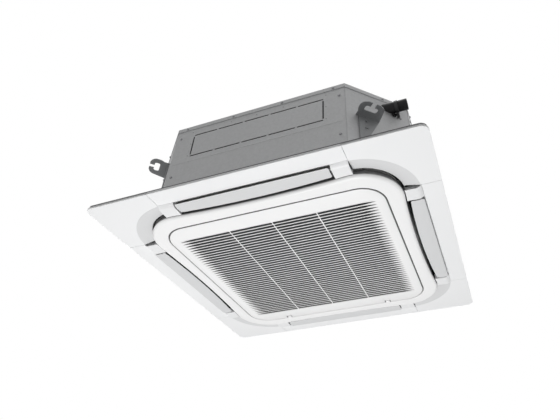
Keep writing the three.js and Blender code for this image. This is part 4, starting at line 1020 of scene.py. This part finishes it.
def straight_lug(corner):
    """Hanger: the lug's edge runs straight from its tip on into the flange's slanted edge.

    out and across are measured from the foot of the lug; the edge is across = 44 - 0.2125 out.
    """
    sign_x, sign_y = CORNERS[corner]

    def reshape(points):
        x = points[:, 0] * sign_x - CORNER_MIDDLE
        y = points[:, 1] * sign_y - CORNER_MIDDLE
        out = (x + y) / math.sqrt(2)
        across = (x - y) / math.sqrt(2) - LUG_MIDDLE
        z = points[:, 2]
        lug_edge = (z > 171) & (across > 29) & (across < 37) & (out < 40.5)
        flange_top = (z > 171) & (np.abs(across - 40) < 0.5) & (out < 5)
        flange_bend = np.isclose(z, 157, atol=0.1) & (np.abs(across - 40) < 0.5)
        moved = np.where(lug_edge | flange_top, 44 - 0.2125 * out, across)
        moved = np.where(flange_bend, 36, moved) + LUG_MIDDLE
        return np.column_stack(corner_place(corner)(out, moved, z))
    return reshape


def eased_pieces():
    for material, edge, smooth, members in EASED:
        for node in members:
            eased(node, BODY_OF[node], material, edge, smooth)
    eased("front_panel", "casing", galvanised, 0.35, 10, widened_slits)
    for corner in CORNERS:
        node = f"hanger_bracket_{corner}"
        eased(node, "casing", hanger_steel, 0.7, 20, straight_lug(corner))


eased_pieces()

SCREW_WASHER = [(4.4, -0.2), (4.4, 0.5), (4.0, 0.9)]
SCREW_HEAD = [(3.4, 0.7), (3.4, 2.3), (2.9, 2.9)]
RIVET = [(1.7, -0.2), (1.7, 0.2), (1.3, 0.6), (0.6, 0.8)]


def fixings():
    """Hexagon-head screws with washers, and small rivets, on the walls and the lid's skirt."""
    screws = Piece("casing_screws_look")
    rivets = Piece("casing_rivets_look")

    def screw(centre, normal):
        screws.grid(head_on(centre, normal, SCREW_WASHER, 16), caps=True)
        screws.grid(head_on(centre, normal, SCREW_HEAD, 6), caps=True)

    def rivet(centre, normal):
        rivets.grid(head_on(centre, normal, RIVET, 10), caps=True)

    for k in range(4):
        normal = turned((0, -1, 0), k)
        for along in (-255, 255):
            for z in (90, 245):
                screw(turned((along, -CASING_HALF, z), k), normal)
        for along in (-238, -80, 80, 238):
            screw(turned((along, -CASING_HALF - 1.3, 282), k), normal)
        if k == 0:
            for along in (-216, 216):
                for z in (163, 212, 262):
                    rivet((along, -CASING_HALF, z), normal)
            for along in (-85, 0, 85):
                rivet((along, -CASING_HALF, 262), normal)
    for corner, (sign_x, sign_y) in CORNERS.items():
        place = corner_place(corner)
        normal = (sign_x, sign_y, 0)
        screw(place(1.4, 20, 282), normal)
        for along, z in ((75, 60), (75, 225), (-85, 60)):
            screw(place(0, along, z), normal)
        for along, z in ((-60, 120), (-60, 90), (-46, 141)):
            rivet(place(3.2, along, z), normal)
        for out, along in ((25, -63), (9, -47)):
            rivet(place(out, along, 172), (0, 0, -1))
    for x in (-300, 300):
        for y in (-110, 110):
            screw((x, y, 290), (0, 0, 1))
            screw((y, x, 290), (0, 0, 1))
    screws.make("casing", screw_steel, slot="dark_steel", smooth=30)
    rivets.make("casing", hanger_steel, slot="dark_steel", smooth=30)


fixings()


def swages():
    """Lines pressed out of the long walls, half width 1.7, standing out by cos(pi v / 2)."""
    piece = Piece("casing_swages_look")
    v = np.linspace(-1, 1, 9)
    section = np.vstack([np.column_stack([-np.cos(math.pi * v / 2), 1.7 * v]),
                         [(0.4, 1.7), (0.4, -1.7)]])
    section += (-CASING_HALF, 139)
    for k in range(4):
        points = swept(section, np.linspace(-262, 262, 9), across_x)
        piece.grid(turned(points, k), caps=True)
    piece.make("casing", galvanised, slot="galvanised", smooth=40)


swages()


def cover_tabs():
    """Latch tabs of the corner covers, standing on the panel's rim beside each seam."""
    piece = Piece("corner_latch_tabs_look")
    section = [(-1.2, -1), (1.2, -1), (1.2, 2.6), (0.7, 3.2), (-0.7, 3.2), (-1.2, 2.6)]
    for k in range(4):
        for sign in (-1, 1):
            for start, end in ((276, 300), (306, 326)):
                points = swept(section, (sign * start, sign * end),
                               lambda s, u, w: (np.full(len(u), s), -469.5 + u, w))
                piece.grid(turned(points, k), caps=True)
    piece.make("casing", grey_plastic, slot="grey_plastic", smooth=30)


cover_tabs()


def panel_seal():
    """Strip of foam along the upper edge of the panel, under the ceiling."""
    outer, inner = (rounded_square(SET_BACK - d, PANEL_CORNER_R - PANEL_STEP_IN - d)
                    for d in (0.4, 7))
    loop = [(outer, RIM_STEP + 0.6), (outer, 3.4), (inset(outer, 0.8), 4.0),
            (inset(inner, -0.8), 4.0), (inner, 3.4), (inner, RIM_STEP + SKIN)]
    piece = Piece("panel_seal_look").grid(layers(loop), rows_close=True)
    piece.make("casing", seal_foam, slot="sealing_foam", smooth=30)


panel_seal()


# ---- Pipes
def bezier(start, elbow, end, steps=14):
    """Quadratic curve (1 - t)^2 a + 2 t (1 - t) b + t^2 c."""
    t = np.linspace(0, 1, steps)[:, None]
    start, elbow, end = (np.asarray(p, float) for p in (start, elbow, end))
    return (1 - t) ** 2 * start + 2 * t * (1 - t) * elbow + t ** 2 * end


def refrigerant_pipe(name, x, y, z, radius):
    """Copper tube from the header round a bend and out, with a hexagon nut and a cap."""
    def past(distance):
        return np.array((x, y, z)) + distance * np.array((1, 1, 0)) / math.sqrt(2)
    bend_end = past(-40)
    start = (312, 176.2, z)
    elbow = (312, bend_end[1] - (bend_end[0] - 312), z)
    path = np.vstack([bezier(start, elbow, bend_end), past(-10), past(20), past(48)])
    piece = Piece(f"{name}_look").grid(tube(path, radius, 28), caps=True)
    piece.grid(rod(past(35.9), past(56), radius * 1.7, 6, 1.2), caps=True)
    piece.grid(rod(past(54), past(64), radius * 1.35, 28, 1.4), caps=True)
    piece.grid(rod(past(30), past(36.5), radius * 1.3, 28, 1.0), caps=True)
    piece.make("casing", copper, [name], "copper", smooth=35)


refrigerant_pipe("gas_pipe", 367.5, 324, 150, 7.9)
refrigerant_pipe("liquid_pipe", 389.5, 302, 105, 4.8)


def drain_pipe():
    """Rigid pipe up from the pump, over a bend and out to the hose."""
    x, bend = 324.3, 22
    bend_start = (x, DRAIN_Y, DRAIN_Z - bend)
    bend_end = (x + bend, DRAIN_Y, DRAIN_Z)
    curve = bezier(bend_start, (x, DRAIN_Y, DRAIN_Z), bend_end)
    path = np.vstack([[(x, DRAIN_Y, 118.2), (x, DRAIN_Y, 170)], curve, [(400, DRAIN_Y, DRAIN_Z)]])
    piece = Piece("drain_pipe_look").grid(tube(path, 11.8, 28), caps=True)
    piece.make("casing", grey_plastic, ["drain_pipe"], "grey_plastic", smooth=35)


drain_pipe()


# ---- Fan and bell mouth
FAN_R = 228.0
FAN_EYE_R = 178.0
FAN_LOW = 73.0
FAN_TOP = 205.0
SHROUD_RISE = 34.0
BLADES = 7


def shroud_curve(steps=17):
    """Radius 178 + 50 (1 - cos a) and height 73 + 34 sin a, a over 90 degrees."""
    a = np.linspace(0, math.pi / 2, steps)
    return np.column_stack([FAN_EYE_R + (FAN_R - FAN_EYE_R) * (1 - np.cos(a)),
                            FAN_LOW + SHROUD_RISE * np.sin(a)])


def blade_rows(start):
    """Blade: angle start - 0.62 p^0.85, radius 146 to 225.5, half thickness swelling early."""
    p = np.linspace(0, 1, 17)
    radius = 146 + 79.5 * p
    angle = start - 0.62 * p ** 0.85
    middle = np.column_stack([radius * np.cos(angle), radius * np.sin(angle)])
    along = np.gradient(middle, axis=0)
    along /= np.linalg.norm(along, axis=1, keepdims=True)
    across = np.column_stack([-along[:, 1], along[:, 0]])
    half = (0.7 + 3.2 * np.sqrt(p) * (1 - p) + 0.7 * np.sqrt(1 - p))[:, None]
    near, far = middle - across * half, middle + across * half
    curve = shroud_curve()
    low = np.where(radius < FAN_EYE_R, FAN_LOW + 14,
                   np.interp(radius, curve[:, 0], curve[:, 1]) + 1.3)
    top = np.full(len(p), FAN_TOP - 2)
    loop = [(near, low), (near, top), (far, top), (far, low)]
    return np.stack([np.column_stack([edge, z]) for edge, z in loop], axis=1)


def turbo_fan():
    """Shroud below, hub and top disc above, and seven blades between them."""
    piece = Piece("turbo_fan_look")
    under = shroud_curve()
    over = under[::-1] + (0, 2.6)
    lip = [(FAN_R, FAN_LOW + SHROUD_RISE + 1.3)]
    piece.grid(turned_section(np.vstack([under, lip, over]), 112), rows_close=True)
    hub = [(4.6, 124), (17, 124), (18, 125), (18, 144), (57, 144), (62, 146.5), (107, 198.5),
           (113, 202.4), (FAN_R - 1, 202.4), (FAN_R, 203.4), (FAN_R, 204.4), (FAN_R - 0.6, 205),
           (109, 205), (104, 201.5), (60, 149.5), (55, 147), (4.6, 147)]
    piece.grid(turned_section(hub, 112), rows_close=True)
    for blade in range(BLADES):
        piece.grid(blade_rows(2 * math.pi * blade / BLADES), caps=True)
    piece.make("fan", fan_plastic, ["turbo_fan"], "grey_plastic", smooth=40)


turbo_fan()


def bell_mouth():
    """Square plate and flare: radius 215 - 43 sin a, height 34 + 36 (1 - cos a)."""
    plate = rounded_square(273.5, 85)
    unit = plate / np.linalg.norm(plate, axis=1, keepdims=True)
    a = np.linspace(0, math.pi / 2, 15)
    radius = 215 - 43 * np.sin(a)
    height = 34 + 36 * (1 - np.cos(a))
    inside = [(unit * r, z) for r, z in zip(radius, height)]
    outside = [(unit * (r + 2.5 * math.sin(t)), z + 2.5 * math.cos(t))
               for r, z, t in zip(radius, height, a)]
    rows = [(plate, 36.5), (plate, 34), *inside, (unit * 172, 82), (unit * 174.5, 82),
            *outside[::-1]]
    piece = Piece("bell_mouth_look").grid(layers(rows), rows_close=True)
    piece.make("casing", grey_plastic, ["bell_mouth"], "grey_plastic", smooth=40)


bell_mouth()


def fan_motor():
    """Motor can with a dished lower face, its shaft and four ears."""
    can = [(0.6, 115), (3.5, 115), (4, 115.5), (4, 158), (13, 158), (14, 159), (16, 163),
           (50, 163), (56, 165), (64, 173.5), (66, 177), (66, 205), (66.8, 206), (66.8, 211),
           (66, 212), (66, 249), (64.5, 254), (60, 257.5), (56, 258), (0.6, 258)]
    piece = Piece("fan_motor_look").grid(turned_section(can, 72), caps=True)
    ear = [(-11, 238.3), (11, 238.3), (11, 242.7), (10.7, 243), (-10.7, 243), (-11, 242.7)]
    for k in range(4):
        piece.grid(turned(swept(ear, (60, 92), across_x), k), caps=True)
    piece.make("casing", dark_steel, ["fan_motor"], "dark_steel", smooth=30)


fan_motor()


# ---- Studio
def white_backdrop(name, colour):
    """A pale surface that is plain white to the camera and in reflections, shadow kept."""
    finish = Finish(name, colour, 0.9)
    soft = finish.noise(2.0, 2.0)
    finish.set("Roughness", 0.85 + 0.1 * soft)
    seen = finish.background_ray()
    glow = finish.node("ShaderNodeEmission", None, {"Color": (1, 1, 1, 1), "Strength": 0.7})
    both = finish.node("ShaderNodeAddShader", None, {0: finish.shader.outputs[0],
                                                     1: glow.outputs[0]})
    mix = finish.node("ShaderNodeMixShader", None, {0: seen, 1: finish.shader.outputs[0],
                                                    2: both.outputs[0]})
    output = finish.tree.nodes["Material Output"]
    finish.tree.links.new(mix.outputs[0], output.inputs["Surface"])
    return finish.material


def floor():
    """A flat sheet 80 m wide below the part."""
    side = np.linspace(-40000, 40000, 3)
    x, y = np.meshgrid(side, side)
    points = np.stack([x, y, np.full_like(x, FLOOR_Z)], -1)
    mesh = bpy.data.meshes.new("floor")
    quads = [[0, 1, 4, 3], [1, 2, 5, 4], [3, 4, 7, 6], [4, 5, 8, 7]]
    mesh.from_pydata(points.reshape(-1, 3) * MM, [], quads)
    mesh.materials.append(white_backdrop("pale floor", (0.6, 0.6, 0.6)))
    piece = bpy.data.objects.new("floor", mesh)
    bpy.context.scene.collection.objects.link(piece)


floor()


def world():
    """White to the camera, in reflections and through glass; a low grey light otherwise."""
    scene_world = bpy.data.worlds.new("studio")
    bpy.context.scene.world = scene_world
    scene_world.use_nodes = True
    light = Nodes(scene_world.node_tree)
    background = light.tree.nodes["Background"]
    seen = light.background_ray()
    light.feed(background.inputs["Strength"], WORLD_LIGHT + (1.0 - WORLD_LIGHT) * seen)
    background.inputs["Color"].default_value = (1, 1, 1, 1)


world()


def lamp(name, place, aim, size, power):
    data = bpy.data.lights.new(name, "AREA")
    data.shape = "DISK"
    data.size = size
    data.energy = power
    light = bpy.data.objects.new(name, data)
    light.location = place
    light.rotation_euler = (Vector(aim) - Vector(place)).to_track_quat("-Z", "Y").to_euler()
    light.visible_camera = False
    bpy.context.scene.collection.objects.link(light)


lamp("low key", (-0.05, -0.3, -2.35), (0.0, 0.0, 0.0), 1.2, 41)
lamp("upper fill", (0.0, 0.0, 2.6), (0.0, 0.0, 0.0), 2.4, 44)
lamp("right fill", (2.5, 0.9, 0.5), (0.3, 0.0, 0.1), 1.6, 28)
lamp("left fill", (-2.2, -0.9, -0.5), (-0.3, 0.0, 0.1), 1.2, 6)


def camera():
    """Seen from below and in front, 20 degrees round to the right."""
    data = bpy.data.cameras.new("camera")
    data.lens = 30.08
    data.sensor_width = 36.0
    data.shift_x = -0.06997
    data.shift_y = -0.05515
    data.clip_start = 0.02
    data.clip_end = 60.0
    viewer = bpy.data.objects.new("camera", data)
    viewer.location = (0.491005, -1.226494, -0.783647)
    viewer.rotation_euler = [math.radians(a) for a in (130.6398, -0.1329, 19.9375)]
    bpy.context.scene.collection.objects.link(viewer)
    bpy.context.scene.camera = viewer


camera()
bpy.context.scene.view_settings.view_transform = "Standard"
